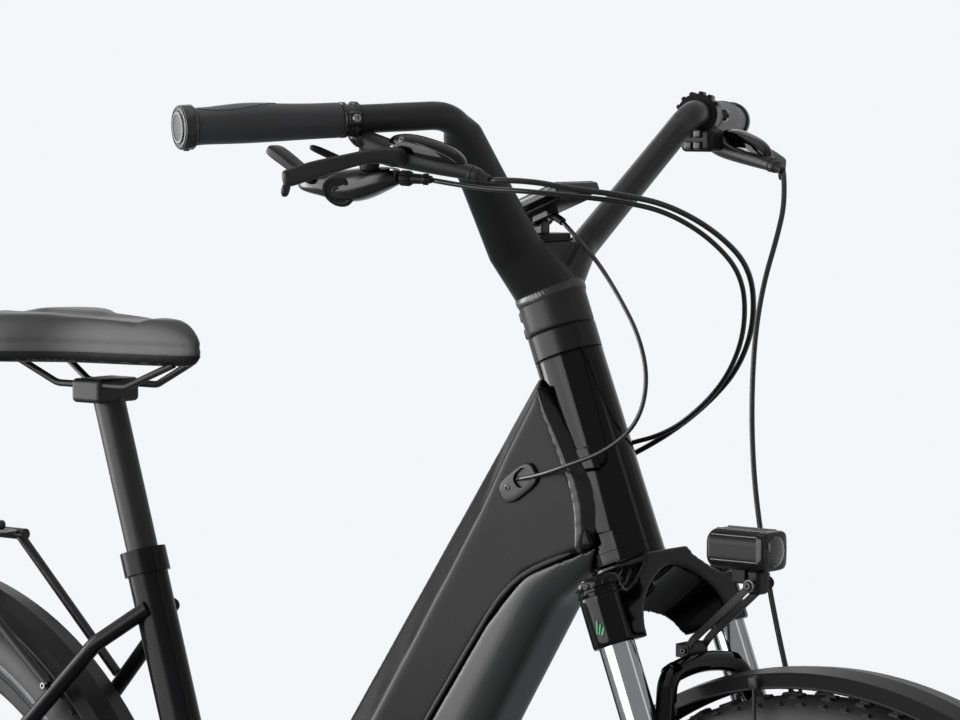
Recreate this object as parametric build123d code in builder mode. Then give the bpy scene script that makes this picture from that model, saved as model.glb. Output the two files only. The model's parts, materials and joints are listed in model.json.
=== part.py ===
from build123d import *
import math
import os

os.makedirs("parts", exist_ok=True)

# Step-through electric bicycle.
# Frame: +X forward, +Y left, +Z up, ground at z = 0, millimetres.

# ---- driving dimensions ----
WHEEL_R = 350.0
TYRE_HALF_W = 28.0
BEAD_R = 296.0
FRONT_AXLE = (581.0, 350.0)
REAR_AXLE = (-559.0, 350.0)
CRANK_AXIS = (-97.0, 300.0)
CRANK_LENGTH = 170.0
CHAIN_Y = -58.0
RING_R = 77.0
COG_R = 28.0

HEAD_TILT = math.radians(21.0)
HEAD_BOTTOM = (362.5, 796.3)
HEAD_LENGTH = 190.6
HEAD_R_TOP = 31.0
HEAD_R_BOTTOM = 33.0
COLLAR_R = 31.25
SEAM = 1.0
SPACER_LENGTH = 23.4
COLLAR_TOP = 250.0

LEG_X = 22.0
LEG_Y = 82.0
AXLE_DROP = 495.0
SOCKET_R = 20.8
STANCHION_R = 16.0
LOWER_R = 22.0

LEG_TWIST = 0.8
BAR_BEND = (302.3, 175.1, 1191.3)
BAR_SWEEP = math.radians(26.5)
BAR_DROOP = math.radians(2.3)
BAR_END = 243.0

FRAME_HALF_W = 42.0
SEAT_ANGLE = math.radians(73.0)
SEAT_TUBE_R = 20.0
SEAT_TUBE_TOP = 480.0
MUDGUARD_IN = 366.0
MUDGUARD_OUT = 369.0
MUDGUARD_LIP = 372.0
MUDGUARD_HALF_W = 31.0
STAND_PIVOT = (-170.0, 255.0)


# ---- shared geometry ----
UP = Vector(-math.sin(HEAD_TILT), 0, math.cos(HEAD_TILT))
FORE = Vector(math.cos(HEAD_TILT), 0, math.sin(HEAD_TILT))
HEAD = Vector(HEAD_BOTTOM[0], 0, HEAD_BOTTOM[1])


def steer(along, fore=0.0, side=0.0):
    """A point given along the steering axis, in front of it and to its left."""
    return HEAD + UP * along + FORE * fore + Vector(0, side, 0)


def steer_plane(along, fore=0.0, side=0.0):
    """A plane square to the steering axis; its x points forward, its y left."""
    return Plane(origin=steer(along, fore, side), x_dir=FORE, z_dir=UP)


def grip_dir(side):
    """The way a grip points; side is -1 for right and +1 for left."""
    return Vector(
        -math.sin(BAR_SWEEP) * math.cos(BAR_DROOP),
        side * math.cos(BAR_SWEEP) * math.cos(BAR_DROOP),
        -math.sin(BAR_DROOP),
    )


def bar_point(side, along):
    """A point on the bar's axis, measured out from its bend."""
    return Vector(BAR_BEND[0], side * BAR_BEND[1], BAR_BEND[2]) + grip_dir(side) * along


def bar_plane(side, along):
    """A plane square to the bar; its x lies level and forward."""
    z_dir = grip_dir(side)
    x_dir = Vector(0, 0, 1).cross(z_dir) * (1 if side < 0 else -1)
    return Plane(origin=bar_point(side, along), x_dir=x_dir * -1, z_dir=z_dir)


def tube_between(start, end, radius, radius_end=None):
    """A straight round bar, or a cone if a second radius is given."""
    start = Vector(*start)
    end = Vector(*end)
    with BuildPart(mode=Mode.PRIVATE) as piece:
        with BuildSketch(Plane(origin=start, z_dir=(end - start))):
            Circle(radius)
        if radius_end is None:
            extrude(amount=(end - start).length)
        else:
            with BuildSketch(Plane(origin=end, z_dir=(end - start))):
                Circle(radius_end)
            loft()
    return piece.part


def disc_y(centre, y, radius, thickness, bore=0.0):
    """A disc or ring across Y whose middle plane is at y."""
    with BuildPart(mode=Mode.PRIVATE) as piece:
        with BuildSketch(Plane(origin=(centre[0], y, centre[1]), x_dir=(1, 0, 0), z_dir=(0, -1, 0))):
            Circle(radius)
            if bore:
                Circle(bore, mode=Mode.SUBTRACT)
        extrude(amount=thickness / 2, both=True)
    return piece.part


def plate_y(points, y, thickness, round_r=0.0):
    """A flat plate in the XZ plane at y, from corner points."""
    with BuildPart(mode=Mode.PRIVATE) as piece:
        with BuildSketch(Plane(origin=(0, y, 0), x_dir=(1, 0, 0), z_dir=(0, -1, 0))) as sketch:
            Polygon(*points, align=None)
            if round_r:
                fillet(sketch.vertices(), round_r)
        extrude(amount=thickness / 2, both=True)
    return piece.part


def box_at(centre, size, round_r=0.0, turn_y=0.0):
    """A box about a centre, turned about Y, with its long edges rounded."""
    with BuildPart(Plane(origin=centre).rotated((0, turn_y, 0)), mode=Mode.PRIVATE) as piece:
        Box(*size)
        if round_r:
            fillet(piece.edges(), round_r)
    return piece.part


def cord_radii(points):
    """The arc radius for each bend of a cord's route."""
    radii = []
    for a, b, c in zip(points, points[1:], points[2:]):
        first = Vector(*b) - Vector(*a)
        second = Vector(*c) - Vector(*b)
        half = math.radians(first.get_angle(second)) / 2
        radii.append(0.45 * min(first.length, second.length) / math.tan(half))
    return radii


def cord_tube(name, points, diameter):
    """A round cord along straight runs joined by tangent arcs."""
    radii = cord_radii(points)
    print(name, "smallest radius", round(min(radii), 1), "largest turn", end=" ")
    turns = [
        (Vector(*b) - Vector(*a)).get_angle(Vector(*c) - Vector(*b))
        for a, b, c in zip(points, points[1:], points[2:])
    ]
    runs = [(Vector(*b) - Vector(*a)).length for a, b in zip(points, points[1:])]
    print(round(max(turns), 1), "runs", round(min(runs), 1), round(max(runs), 1))
    print(name, "radii", [round(r, 1) for r in radii])
    with BuildPart(mode=Mode.PRIVATE) as piece:
        with BuildLine() as route:
            FilletPolyline(*points, radius=radii)
        with BuildSketch(Plane(origin=points[0], z_dir=route.line @ 0.001 - route.line @ 0)):
            Circle(diameter / 2)
        sweep(path=route.line)
    length = sum(edge.length for edge in route.edges())
    expected = math.pi * diameter**2 / 4 * length
    print(name, "length", round(length, 1), "volume ratio", round(piece.part.volume / expected, 4))
    return piece.part


def edges_along(edges, line):
    """The edges across the frame's flanks that follow a corner line."""
    picked = []
    for edge in edges.filter_by(Axis.Y, reverse=True):
        middle = edge @ 0.5
        if abs(abs(middle.Y) - FRAME_HALF_W) > 0.1:
            continue
        for (x1, z1), (x2, z2) in zip(line, line[1:]):
            span = Vector(x2 - x1, 0, z2 - z1)
            offset = Vector(middle.X - x1, 0, middle.Z - z1)
            share = offset.dot(span) / span.length**2
            if -0.02 < share < 1.02 and (offset - span * share).length < 14:
                picked.append(edge)
                break
    return picked


def save(part, name):
    """Label a part and write it."""
    part.label = name
    export_step(part, "parts/" + name + ".step")


# ---- head tube ----
with BuildPart() as head_tube:
    with BuildSketch(steer_plane(0)):
        Circle(HEAD_R_BOTTOM)
    with BuildSketch(steer_plane(HEAD_LENGTH)):
        Circle(HEAD_R_TOP)
    loft()
save(head_tube.part, "head_tube")

# ---- down tube: upper shell of the step-through beam ----
TOP_LINE = [(283, 962), (118.5, 719.4), (16, 568), (-128, 402)]
BOUNDARY = [(2, 402), (92, 530), (230.4, 732.1), (274.2, 780.8), (352, 812)]
BELLY = [(336, 784), (294, 752), (219, 629), (126, 452)]
BELLY_ROUND = 28.0
BATTERY_FOOT = (28, 438)

# Room for the fork's crown and its arms as they turn.
with BuildPart() as crown_pocket:
    with BuildSketch(steer_plane(0)):
        Circle(HEAD_R_BOTTOM + 5)
    extrude(amount=-90)
    with BuildSketch(steer_plane(-12)):
        Circle(70)
    extrude(amount=-78)

with BuildPart() as down_tube:
    with BuildSketch(Plane(origin=(0, 0, 0), x_dir=(1, 0, 0), z_dir=(0, -1, 0))):
        with BuildLine():
            FilletPolyline(*TOP_LINE, radius=[900, 260])
            Line(TOP_LINE[-1], BOUNDARY[0])
            FilletPolyline(*BOUNDARY, radius=[500, 120, 60])
            Line(BOUNDARY[-1], TOP_LINE[0])
        make_face()
    extrude(amount=FRAME_HALF_W, both=True)
    fillet(edges_along(down_tube.edges(), TOP_LINE), 14)
    add(head_tube.part, mode=Mode.SUBTRACT)
    add(crown_pocket.part, mode=Mode.SUBTRACT)
save(down_tube.part, "down_tube")

# ---- battery: lower shell of the beam ----
with BuildPart() as battery:
    lower = [(x + 0.5, z - 1.2) for x, z in BOUNDARY]
    with BuildSketch(Plane(origin=(0, 0, 0), x_dir=(1, 0, 0), z_dir=(0, -1, 0))):
        with BuildLine():
            FilletPolyline(*[BATTERY_FOOT] + lower[1:], radius=[500, 120, 60])
            Line(lower[-1], BELLY[0])
            FilletPolyline(*BELLY, radius=[60, 700])
            Line(BELLY[-1], BATTERY_FOOT)
        make_face()
    extrude(amount=FRAME_HALF_W, both=True)
    fillet(edges_along(battery.edges(), BELLY), BELLY_ROUND)
    add(head_tube.part, mode=Mode.SUBTRACT)
    add(crown_pocket.part, mode=Mode.SUBTRACT)
save(battery.part, "battery")

# ---- drive unit with its stand bracket ----
MOTOR = [(-150, 398), (27, 398), (30, 434), (126, 436), (118, 380), (62, 318), (0, 258), (-70, 232)]
MOTOR = MOTOR + [(-128, 236), (-165, 280), (-165, 330)]
with BuildPart() as drive_unit:
    add(plate_y(MOTOR, 0, 88))
    fillet(drive_unit.edges().filter_by(Axis.Y), 4)
    add(disc_y(CRANK_AXIS, 0, 52, 91))
    add(box_at((-158, 0, 256), (44, 60, 34), 4))
    add(disc_y(STAND_PIVOT, 0, 8.0, 80), mode=Mode.SUBTRACT)
save(drive_unit.part, "drive_unit")

# ---- seat tube ----
SEAT_UP = Vector(-math.cos(SEAT_ANGLE), 0, math.sin(SEAT_ANGLE))
BOTTOM_BRACKET = Vector(CRANK_AXIS[0], 0, CRANK_AXIS[1])
with BuildPart() as seat_tube:
    with BuildSketch(Plane(origin=BOTTOM_BRACKET + SEAT_UP * 105, x_dir=(0, 1, 0), z_dir=SEAT_UP)):
        Circle(SEAT_TUBE_R)
    extrude(amount=SEAT_TUBE_TOP - 105)
    with BuildSketch(Plane(origin=BOTTOM_BRACKET + SEAT_UP * (SEAT_TUBE_TOP - 24), x_dir=(0, 1, 0), z_dir=SEAT_UP)):
        Circle(SEAT_TUBE_R + 3)
    extrude(amount=24)
    add(down_tube.part, mode=Mode.SUBTRACT)
    add(drive_unit.part, mode=Mode.SUBTRACT)
save(seat_tube.part, "seat_tube")

# ---- seat post with its clamp and rails ----
POST_TOP = 650.0
CLAMP_AT = BOTTOM_BRACKET + SEAT_UP * POST_TOP
with BuildPart() as seat_post:
    with BuildSketch(Plane(origin=BOTTOM_BRACKET + SEAT_UP * SEAT_TUBE_TOP, x_dir=(0, 1, 0), z_dir=SEAT_UP)):
        Circle(15.8)
    extrude(amount=POST_TOP - SEAT_TUBE_TOP - 8)
    add(box_at((CLAMP_AT.X, 0, CLAMP_AT.Z - 6), (40, 58, 24), 5))
    for side in (-1, 1):
        with BuildLine() as rail:
            FilletPolyline(
                (CLAMP_AT.X + 105, side * 12, CLAMP_AT.Z + 24),
                (CLAMP_AT.X + 50, side * 22, CLAMP_AT.Z),
                (CLAMP_AT.X - 45, side * 22, CLAMP_AT.Z),
                (CLAMP_AT.X - 100, side * 34, CLAMP_AT.Z + 28),
                radius=20,
            )
        with BuildSketch(Plane(origin=rail.line @ 0, z_dir=rail.line % 0)):
            Circle(3.5)
        sweep(path=rail.line)
save(seat_post.part, "seat_post")

# ---- saddle ----
SADDLE_Z = CLAMP_AT.Z + 22
SADDLE_X = CLAMP_AT.X - 10
with BuildPart() as saddle:
    half = [(60, 30), (-20, 52), (-90, 86), (-128, 56)]
    outline = [(140, 0)] + half + [(-134, 0)] + [(x, -y) for x, y in half[::-1]]
    for rise, share in ((0, 0.92), (18, 1.0), (34, 0.95), (46, 0.78)):
        with BuildSketch(Plane.XY.offset(SADDLE_Z + rise)):
            with BuildLine():
                Spline(*[(SADDLE_X + x * share, y * share) for x, y in outline], periodic=True)
            make_face()
    loft()
    add(seat_post.part, mode=Mode.SUBTRACT)
save(saddle.part, "saddle")


# ---- rear triangle ----
def chain_stay(side):
    """One chain stay with its dropout plate."""
    route = [
        (-152, side * 41, 308),
        (-262, side * 41, 314),
        (-500, side * 73, 340),
        (-545, side * 76, 346),
    ]
    with BuildPart(mode=Mode.PRIVATE) as stay:
        with BuildLine() as path:
            FilletPolyline(*route, radius=[200, 100])
        with BuildSketch(Plane(origin=route[0], x_dir=(0, 1, 0), z_dir=(-1, 0, 0.05))):
            RectangleRounded(14, 24, 5)
        sweep(path=path.line)
        shape = [(-578, 372), (-536, 382), (-528, 332), (-560, 322), (-584, 336)]
        add(plate_y(shape, side * 76, 9, 6))
        add(disc_y(REAR_AXLE, side * 76, 6.0, 12), mode=Mode.SUBTRACT)
    return stay.part


def seat_stay(side):
    """One seat stay from the seat tube down to the dropout."""
    route = [
        (-214, side * 17, 705),
        (-262, side * 42, 668),
        (-552, side * 75, 374),
    ]
    with BuildPart(mode=Mode.PRIVATE) as stay:
        with BuildLine() as path:
            FilletPolyline(*route, radius=40)
        with BuildSketch(Plane(origin=route[0], z_dir=Vector(*route[1]) - Vector(*route[0]))):
            Circle(8)
        sweep(path=path.line)
    return stay.part


with BuildPart() as chain_stay_right:
    add(chain_stay(-1))
    add(drive_unit.part, mode=Mode.SUBTRACT)
save(chain_stay_right.part, "chain_stay_right")

with BuildPart() as chain_stay_left:
    add(chain_stay(1))
    add(drive_unit.part, mode=Mode.SUBTRACT)
save(chain_stay_left.part, "chain_stay_left")

with BuildPart() as seat_stay_right:
    add(seat_stay(-1))
    add(seat_tube.part, mode=Mode.SUBTRACT)
    add(chain_stay_right.part, mode=Mode.SUBTRACT)
save(seat_stay_right.part, "seat_stay_right")

with BuildPart() as seat_stay_left:
    add(seat_stay(1))
    add(seat_tube.part, mode=Mode.SUBTRACT)
    add(chain_stay_left.part, mode=Mode.SUBTRACT)
save(seat_stay_left.part, "seat_stay_left")

with BuildPart() as rear_axle:
    add(disc_y(REAR_AXLE, 0, 6.0, 164))
    for side in (-1, 1):
        add(disc_y(REAR_AXLE, side * 83.5, 9.0, 6))
save(rear_axle.part, "rear_axle")


# ---- cable ports on the frame's shoulders ----
def cable_port(side):
    """A rounded port cover with its small lug."""
    centre = Vector(271.2, side * (FRAME_HALF_W + 2), 863)
    with BuildPart(Plane(origin=centre).rotated((0, -35, 0)), mode=Mode.PRIVATE) as port:
        Box(45, 4, 24)
        fillet(port.edges().filter_by(Axis.Y), 11)
        fillet(port.faces().sort_by(Axis.Y)[-1 if side > 0 else 0].edges(), 1.5)
    return port.part


with BuildPart() as cable_port_right:
    add(cable_port(-1))
save(cable_port_right.part, "cable_port_right")

with BuildPart() as cable_port_left:
    add(cable_port(1))
save(cable_port_left.part, "cable_port_left")

# ---- rack ----
RACK_Z = 757.0
with BuildPart() as rack:
    with BuildSketch(Plane.XY.offset(RACK_Z - 4)):
        with Locations((-630, 0)):
            RectangleRounded(340, 110, 20)
        with GridLocations(62, 1, 5, 1):
            with Locations((-630, 0)):
                SlotOverall(80, 26, rotation=90, mode=Mode.SUBTRACT)
        with Locations((-630, 0)):
            with GridLocations(310, 84, 2, 2):
                Circle(2.75, mode=Mode.SUBTRACT)
    extrude(amount=4)
    for side in (-1, 1):
        add(tube_between((-462, side * 58, RACK_Z - 5), (-798, side * 58, RACK_Z - 5), 6))
        add(tube_between((-620, side * 60, RACK_Z - 8), (-568, side * 81, 366), 5))
        add(tube_between((-700, side * 60, RACK_Z - 8), (-572, side * 81, 362), 5))
        add(tube_between((-470, side * 58, RACK_Z - 7), (-322, side * 49, 622), 5))
        add(box_at((-570, side * 82, 372), (22, 5, 18)))
    add(chain_stay_right.part, mode=Mode.SUBTRACT)
    add(chain_stay_left.part, mode=Mode.SUBTRACT)
    add(seat_stay_right.part, mode=Mode.SUBTRACT)
    add(seat_stay_left.part, mode=Mode.SUBTRACT)
    add(rear_axle.part, mode=Mode.SUBTRACT)
save(rack.part, "rack")

with BuildPart() as rear_light:
    add(box_at((-812, 0, 748), (20, 84, 34), 6))
save(rear_light.part, "rear_light")


# ---- mudguards ----
def mudguard(axle, start_deg, end_deg):
    """A curved guard over a wheel, between two angles from straight ahead."""
    with BuildPart(mode=Mode.PRIVATE) as guard:
        with BuildSketch(Plane.XY):
            with BuildLine():
                Polyline(
                    (MUDGUARD_IN - 10, MUDGUARD_HALF_W),
                    (MUDGUARD_IN, MUDGUARD_HALF_W - 7),
                    (MUDGUARD_IN + 3, 0),
                    (MUDGUARD_IN, -MUDGUARD_HALF_W + 7),
                    (MUDGUARD_IN - 10, -MUDGUARD_HALF_W),
                    (MUDGUARD_IN - 8, -MUDGUARD_HALF_W),
                    (MUDGUARD_OUT, -MUDGUARD_HALF_W + 8),
                    (MUDGUARD_LIP, 0),
                    (MUDGUARD_OUT, MUDGUARD_HALF_W - 8),
                    (MUDGUARD_IN - 8, MUDGUARD_HALF_W),
                    close=True,
                )
            make_face()
        revolve(axis=Axis.Y, revolution_arc=end_deg - start_deg)
    turned = guard.part.rotate(Axis.Y, -end_deg)
    return turned.translate((axle[0], 0, axle[1]))


with BuildPart() as rear_mudguard:
    add(mudguard(REAR_AXLE, -5, 186))
save(rear_mudguard.part, "rear_mudguard")


# ---- wheels ----
def ring_about(axle, outline):
    """A solid of revolution about a wheel's axle from (radius, y) corners."""
    with BuildPart(mode=Mode.PRIVATE) as ring:
        with BuildSketch(Plane.XY):
            with BuildLine():
                Polyline(*outline, close=True)
            make_face()
        revolve(axis=Axis.Y)
    return ring.part.translate((axle[0], 0, axle[1]))


def tyre(axle):
    """A tyre with a rounded crown, kept plain because its tread is a surface finish."""
    outline = [
        (BEAD_R, -16),
        (BEAD_R, 16),
        (BEAD_R + 25, TYRE_HALF_W),
        (BEAD_R + 46, 19),
        (WHEEL_R, 0),
        (BEAD_R + 46, -19),
        (BEAD_R + 25, -TYRE_HALF_W),
    ]
    return ring_about(axle, outline)


RIM = [(276, -7), (276, 7), (284, 14.5), (295.6, 14.5), (295.6, -14.5), (284, -14.5)]


def hub_with_spokes(axle, flanges, count, shell):
    """A hub shell with crossed spokes running out into the rim."""
    with BuildPart(mode=Mode.PRIVATE) as hub:
        add(ring_about(axle, shell))
        for index in range(count):
            side = 1 if index % 2 else -1
            lean = 42 if (index // 2) % 2 else -42
            angle = math.radians(360.0 / count * index)
            root = math.radians(360.0 / count * index + lean)
            y_flange = flanges[1] if side > 0 else flanges[0]
            start = (axle[0] + 26 * math.cos(root), y_flange, axle[1] + 26 * math.sin(root))
            end = (axle[0] + 279 * math.cos(angle), side * 2.0, axle[1] + 279 * math.sin(angle))
            add(tube_between(start, end, 1.1))
    return hub.part


FRONT_HUB = [
    (6.4, -46), (12, -46), (12, -38), (18, -33), (30, -32), (30, -28), (18, -27), (15, -14),
    (15, 14), (18, 27), (30, 28), (30, 32), (22, 33), (22, 42), (12, 43), (12, 46), (6.4, 46),
]
REAR_HUB = [
    (6.4, -66), (16, -66), (16, -27), (20, -26), (31, -25), (31, -21), (20, -20), (16, -10),
    (16, 16), (20, 30), (31, 31), (31, 35), (24, 36), (24, 52), (13, 53), (13, 68), (6.4, 68),
]

with BuildPart() as front_tyre:
    add(tyre(FRONT_AXLE))
save(front_tyre.part, "front_tyre")

with BuildPart() as rear_tyre:
    add(tyre(REAR_AXLE))
save(rear_tyre.part, "rear_tyre")

with BuildPart() as front_rim:
    add(ring_about(FRONT_AXLE, RIM))
save(front_rim.part, "front_rim")

with BuildPart() as rear_rim:
    add(ring_about(REAR_AXLE, RIM))
save(rear_rim.part, "rear_rim")

with BuildPart() as front_hub:
    add(hub_with_spokes(FRONT_AXLE, (-30, 30), 28, FRONT_HUB))
save(front_hub.part, "front_hub")

with BuildPart() as rear_hub:
    add(hub_with_spokes(REAR_AXLE, (-23, 33), 32, REAR_HUB))
save(rear_hub.part, "rear_hub")


def brake_disc(axle, y, radius, hub_r):
    """A vented brake disc on its carrier arms."""
    with BuildPart(mode=Mode.PRIVATE) as disc:
        with BuildSketch(Plane(origin=(axle[0], y, axle[1]), x_dir=(1, 0, 0), z_dir=(0, -1, 0))):
            Circle(radius)
            Circle(radius - 17, mode=Mode.SUBTRACT)
            Circle(hub_r + 8)
            with PolarLocations(radius / 2 + 8, 6):
                Rectangle(radius - 30, 9, rotation=14)
            Circle(hub_r, mode=Mode.SUBTRACT)
            with PolarLocations(radius - 8.5, 24):
                Circle(2.6, mode=Mode.SUBTRACT)
        extrude(amount=1.0, both=True)
    return disc.part


with BuildPart() as front_disc:
    add(brake_disc(FRONT_AXLE, 38, 90, 22))
save(front_disc.part, "front_disc")

with BuildPart() as rear_disc:
    add(brake_disc(REAR_AXLE, 46, 80, 24))
save(rear_disc.part, "rear_disc")

COGS = [85, 75, 66, 57, 49, 42, 35, COG_R + 1.5, 23]
COG_PITCH = 4.0
with BuildPart() as cassette:
    add(disc_y(REAR_AXLE, -46, 19.5, 36, 16))
    for index, radius in enumerate(COGS):
        add(disc_y(REAR_AXLE, -30 - COG_PITCH * index, radius, 1.6, 16))
save(cassette.part, "cassette")


# ---- chain with the derailleur that guides it ----
GUIDE = (-576.0, 284.0)
TENSION = (-556.0, 205.0)
PULLEY_R = 19.0


def tangent(c1, r1, c2, r2, side1, side2):
    """Where a straight run touches two circles; a side is +1 for left of travel."""
    dx = c2[0] - c1[0]
    dz = c2[1] - c1[1]
    span = math.hypot(dx, dz)
    base = math.atan2(dz, dx)
    turn = math.acos((side1 * r1 - side2 * r2) / span)
    angle = base + turn
    n = (math.cos(angle), math.sin(angle))
    p1 = (c1[0] + side1 * r1 * n[0], c1[1] + side1 * r1 * n[1])
    p2 = (c2[0] + side2 * r2 * n[0], c2[1] + side2 * r2 * n[1])
    return p1, p2


def arc_between(centre, radius, p1, p2, clockwise):
    """An arc on a circle from p1 to p2, given the way it turns."""
    a1 = math.atan2(p1[1] - centre[1], p1[0] - centre[0])
    a2 = math.atan2(p2[1] - centre[1], p2[0] - centre[0])
    if clockwise and a2 > a1:
        a2 -= 2 * math.pi
    if not clockwise and a2 < a1:
        a2 += 2 * math.pi
    mid = (a1 + a2) / 2
    middle = (centre[0] + radius * math.cos(mid), centre[1] + radius * math.sin(mid))
    return ThreePointArc(p1, middle, p2)


# Travel: ring top, back to the cog's top, round its rear, down in front of the
# guide pulley, round the rear of the tension pulley, forward to the ring's bottom.
CIRCLES = [
    (CRANK_AXIS, RING_R, 1),
    (REAR_AXLE, COG_R, 1),
    (GUIDE, PULLEY_R, -1),
    (TENSION, PULLEY_R, 1),
]
with BuildPart() as chain:
    touches = []
    for index in range(4):
        c1, r1, s1 = CIRCLES[index]
        c2, r2, s2 = CIRCLES[(index + 1) % 4]
        # Travelling backwards along -X the wheels lie on the left.
        touches.append(tangent(c1, -r1, c2, -r2, s1, s2))
    with BuildSketch(Plane(origin=(0, CHAIN_Y, 0), x_dir=(1, 0, 0), z_dir=(0, -1, 0))):
        with BuildLine():
            for index in range(4):
                Line(touches[index][0], touches[index][1])
                centre, radius, side = CIRCLES[(index + 1) % 4]
                arc_between(centre, radius, touches[index][1], touches[(index + 1) % 4][0], side < 0)
        trace(line_width=7.6)
    extrude(amount=2.7, both=True)
    add(disc_y(CRANK_AXIS, CHAIN_Y, RING_R + 5, 3.2), mode=Mode.SUBTRACT)
    add(disc_y(REAR_AXLE, CHAIN_Y, COG_R + 5, 3.2), mode=Mode.SUBTRACT)
    add(disc_y(GUIDE, CHAIN_Y, PULLEY_R + 5, 3.2), mode=Mode.SUBTRACT)
    add(disc_y(TENSION, CHAIN_Y, PULLEY_R + 5, 3.2), mode=Mode.SUBTRACT)
print("chain solids", len(chain.part.solids()))
save(chain.part, "chain")

with BuildPart() as derailleur:
    add(disc_y(GUIDE, CHAIN_Y, PULLEY_R + 2, 2.4))
    add(disc_y(TENSION, CHAIN_Y, PULLEY_R + 2, 2.4))
    for offset in (-6.6, 6.6):
        cage = [(-588, 290), (-566, 292), (-544, 206), (-550, 192), (-566, 194)]
        add(plate_y(cage, CHAIN_Y + offset, 2.0, 4))
    add(disc_y(GUIDE, CHAIN_Y, 4, 15.2))
    add(disc_y(TENSION, CHAIN_Y, 4, 15.2))
    body = [(-596, 298), (-572, 319), (-552, 312), (-564, 284), (-584, 276)]
    add(plate_y(body, CHAIN_Y - 18, 20, 5))
    add(disc_y(GUIDE, CHAIN_Y - 11, 10, 12))
save(derailleur.part, "derailleur")


# ---- brake calipers ----
def caliper(axle, y, disc_r, angle_deg, inner, outer):
    """A caliper body that straddles a disc at an angle from straight ahead."""
    with BuildPart(mode=Mode.PRIVATE) as body:
        Box(58, outer - inner, 34)
        fillet(body.edges().filter_by(Axis.Y), 9)
        with Locations((0, y - (outer + inner) / 2, -11)):
            Box(70, 5, 30, mode=Mode.SUBTRACT)
    angle = math.radians(angle_deg)
    reach = disc_r + 2
    turned = body.part.rotate(Axis.Y, 90 - angle_deg)
    return turned.translate(
        (axle[0] + reach * math.cos(angle), (outer + inner) / 2, axle[1] + reach * math.sin(angle))
    )


with BuildPart() as rear_caliper:
    add(caliper(REAR_AXLE, 46, 80, 62, 34, 58))
save(rear_caliper.part, "rear_caliper")

# ---- steering: collar, spacer, handlebar ----
with BuildPart() as stem_spacer:
    with BuildSketch(steer_plane(HEAD_LENGTH + SEAM)):
        Circle(COLLAR_R)
    extrude(amount=SPACER_LENGTH)
save(stem_spacer.part, "stem_spacer")


def leg_centre(side, height):
    """The middle of a bar leg at a height."""
    rise = height - 1110
    return Vector(281.6 + 0.259 * rise, side * (90.0 + 1.035 * rise), height)


def leg_plane(side, height):
    """A plane square to a bar leg; its x follows the blade's long axis."""
    up = leg_centre(side, height + 1) - leg_centre(side, height)
    up = up.normalized()
    ahead = (Vector(1, 0, 0) - up * up.X).normalized()
    inward = up.cross(ahead) * -side
    long_axis = ahead * math.cos(LEG_TWIST) + inward * math.sin(LEG_TWIST)
    return Plane(origin=leg_centre(side, height), x_dir=long_axis, z_dir=up)


with BuildPart() as bar_leg:
    with BuildSketch(Plane(origin=steer(COLLAR_TOP), x_dir=leg_plane(-1, 1050).x_dir, z_dir=UP)):
        Circle(COLLAR_R)
    with BuildSketch(leg_plane(-1, 1072)):
        Ellipse(24.5, 13.2)
    loft()
    for height, half_deep, half_thick in ((1072, 24.5, 13.2), (1122, 21.0, 12.6), (1174, 17.6, 12.3)):
        with BuildSketch(leg_plane(-1, height)):
            Ellipse(half_deep, half_thick)
    loft()
    start = leg_centre(-1, 1174)
    bend = bar_point(-1, 0)
    with BuildSketch(leg_plane(-1, 1174)):
        Ellipse(17.6, 12.3)
    with BuildSketch(leg_plane(-1, 1183)):
        Circle(12.5)
    loft()
    with BuildLine() as grip_line:
        FilletPolyline(start, bend, bar_point(-1, BAR_END), radius=34)
    with BuildSketch(Plane(origin=start, z_dir=bend - start)):
        Circle(12.5)
    sweep(path=grip_line.line)

with BuildPart() as handlebar:
    with BuildSketch(steer_plane(HEAD_LENGTH + SEAM + SPACER_LENGTH)):
        Circle(COLLAR_R)
    extrude(amount=COLLAR_TOP - HEAD_LENGTH - SEAM - SPACER_LENGTH)
    add(bar_leg.part)
    add(mirror(bar_leg.part, about=Plane.XZ, mode=Mode.PRIVATE))
    # The web that closes the fork of the two legs.
    with BuildSketch(Plane(origin=(272, 0, 0), x_dir=(0, 1, 0), z_dir=(1, 0, 0))):
        Polygon((-14, 1034), (14, 1034), (52, 1077), (-52, 1077), align=None)
    extrude(amount=11, both=True)
save(handlebar.part, "handlebar")


# ---- grips, levers, controls ----
for side, label in ((-1, "grip_right"), (1, "grip_left")):
    with BuildPart() as grip_part:
        with BuildSketch(bar_plane(side, 104)):
            Circle(15)
        with BuildSketch(bar_plane(side, 236)):
            Circle(17)
        loft()
        with BuildSketch(bar_plane(side, 236)):
            Circle(18.5)
        extrude(amount=12)
        add(handlebar.part, mode=Mode.SUBTRACT)
    save(grip_part.part, label)


# Along the master cylinder: how far along, how far above its axis, and the radius there.
LEVER_START = Vector(267, -250, 1176)
LEVER_AXIS = Vector(106, 33, -42).normalized()
CYLINDER = [(4, -5, 8), (28, -6.5, 11.3), (62, -1.5, 10.4), (113, 4.4, 6.0)]
RESERVOIR = [(27, 0, 7), (45, 6, 10.5), (78, 9.5, 10), (96, 6, 6)]


def lever_plane(along, above):
    """A plane square to the right lever's cylinder."""
    rise = (Vector(0, 0, 1) - LEVER_AXIS * LEVER_AXIS.Z).normalized()
    return Plane(origin=LEVER_START + LEVER_AXIS * along + rise * above, x_dir=rise, z_dir=LEVER_AXIS)


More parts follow.
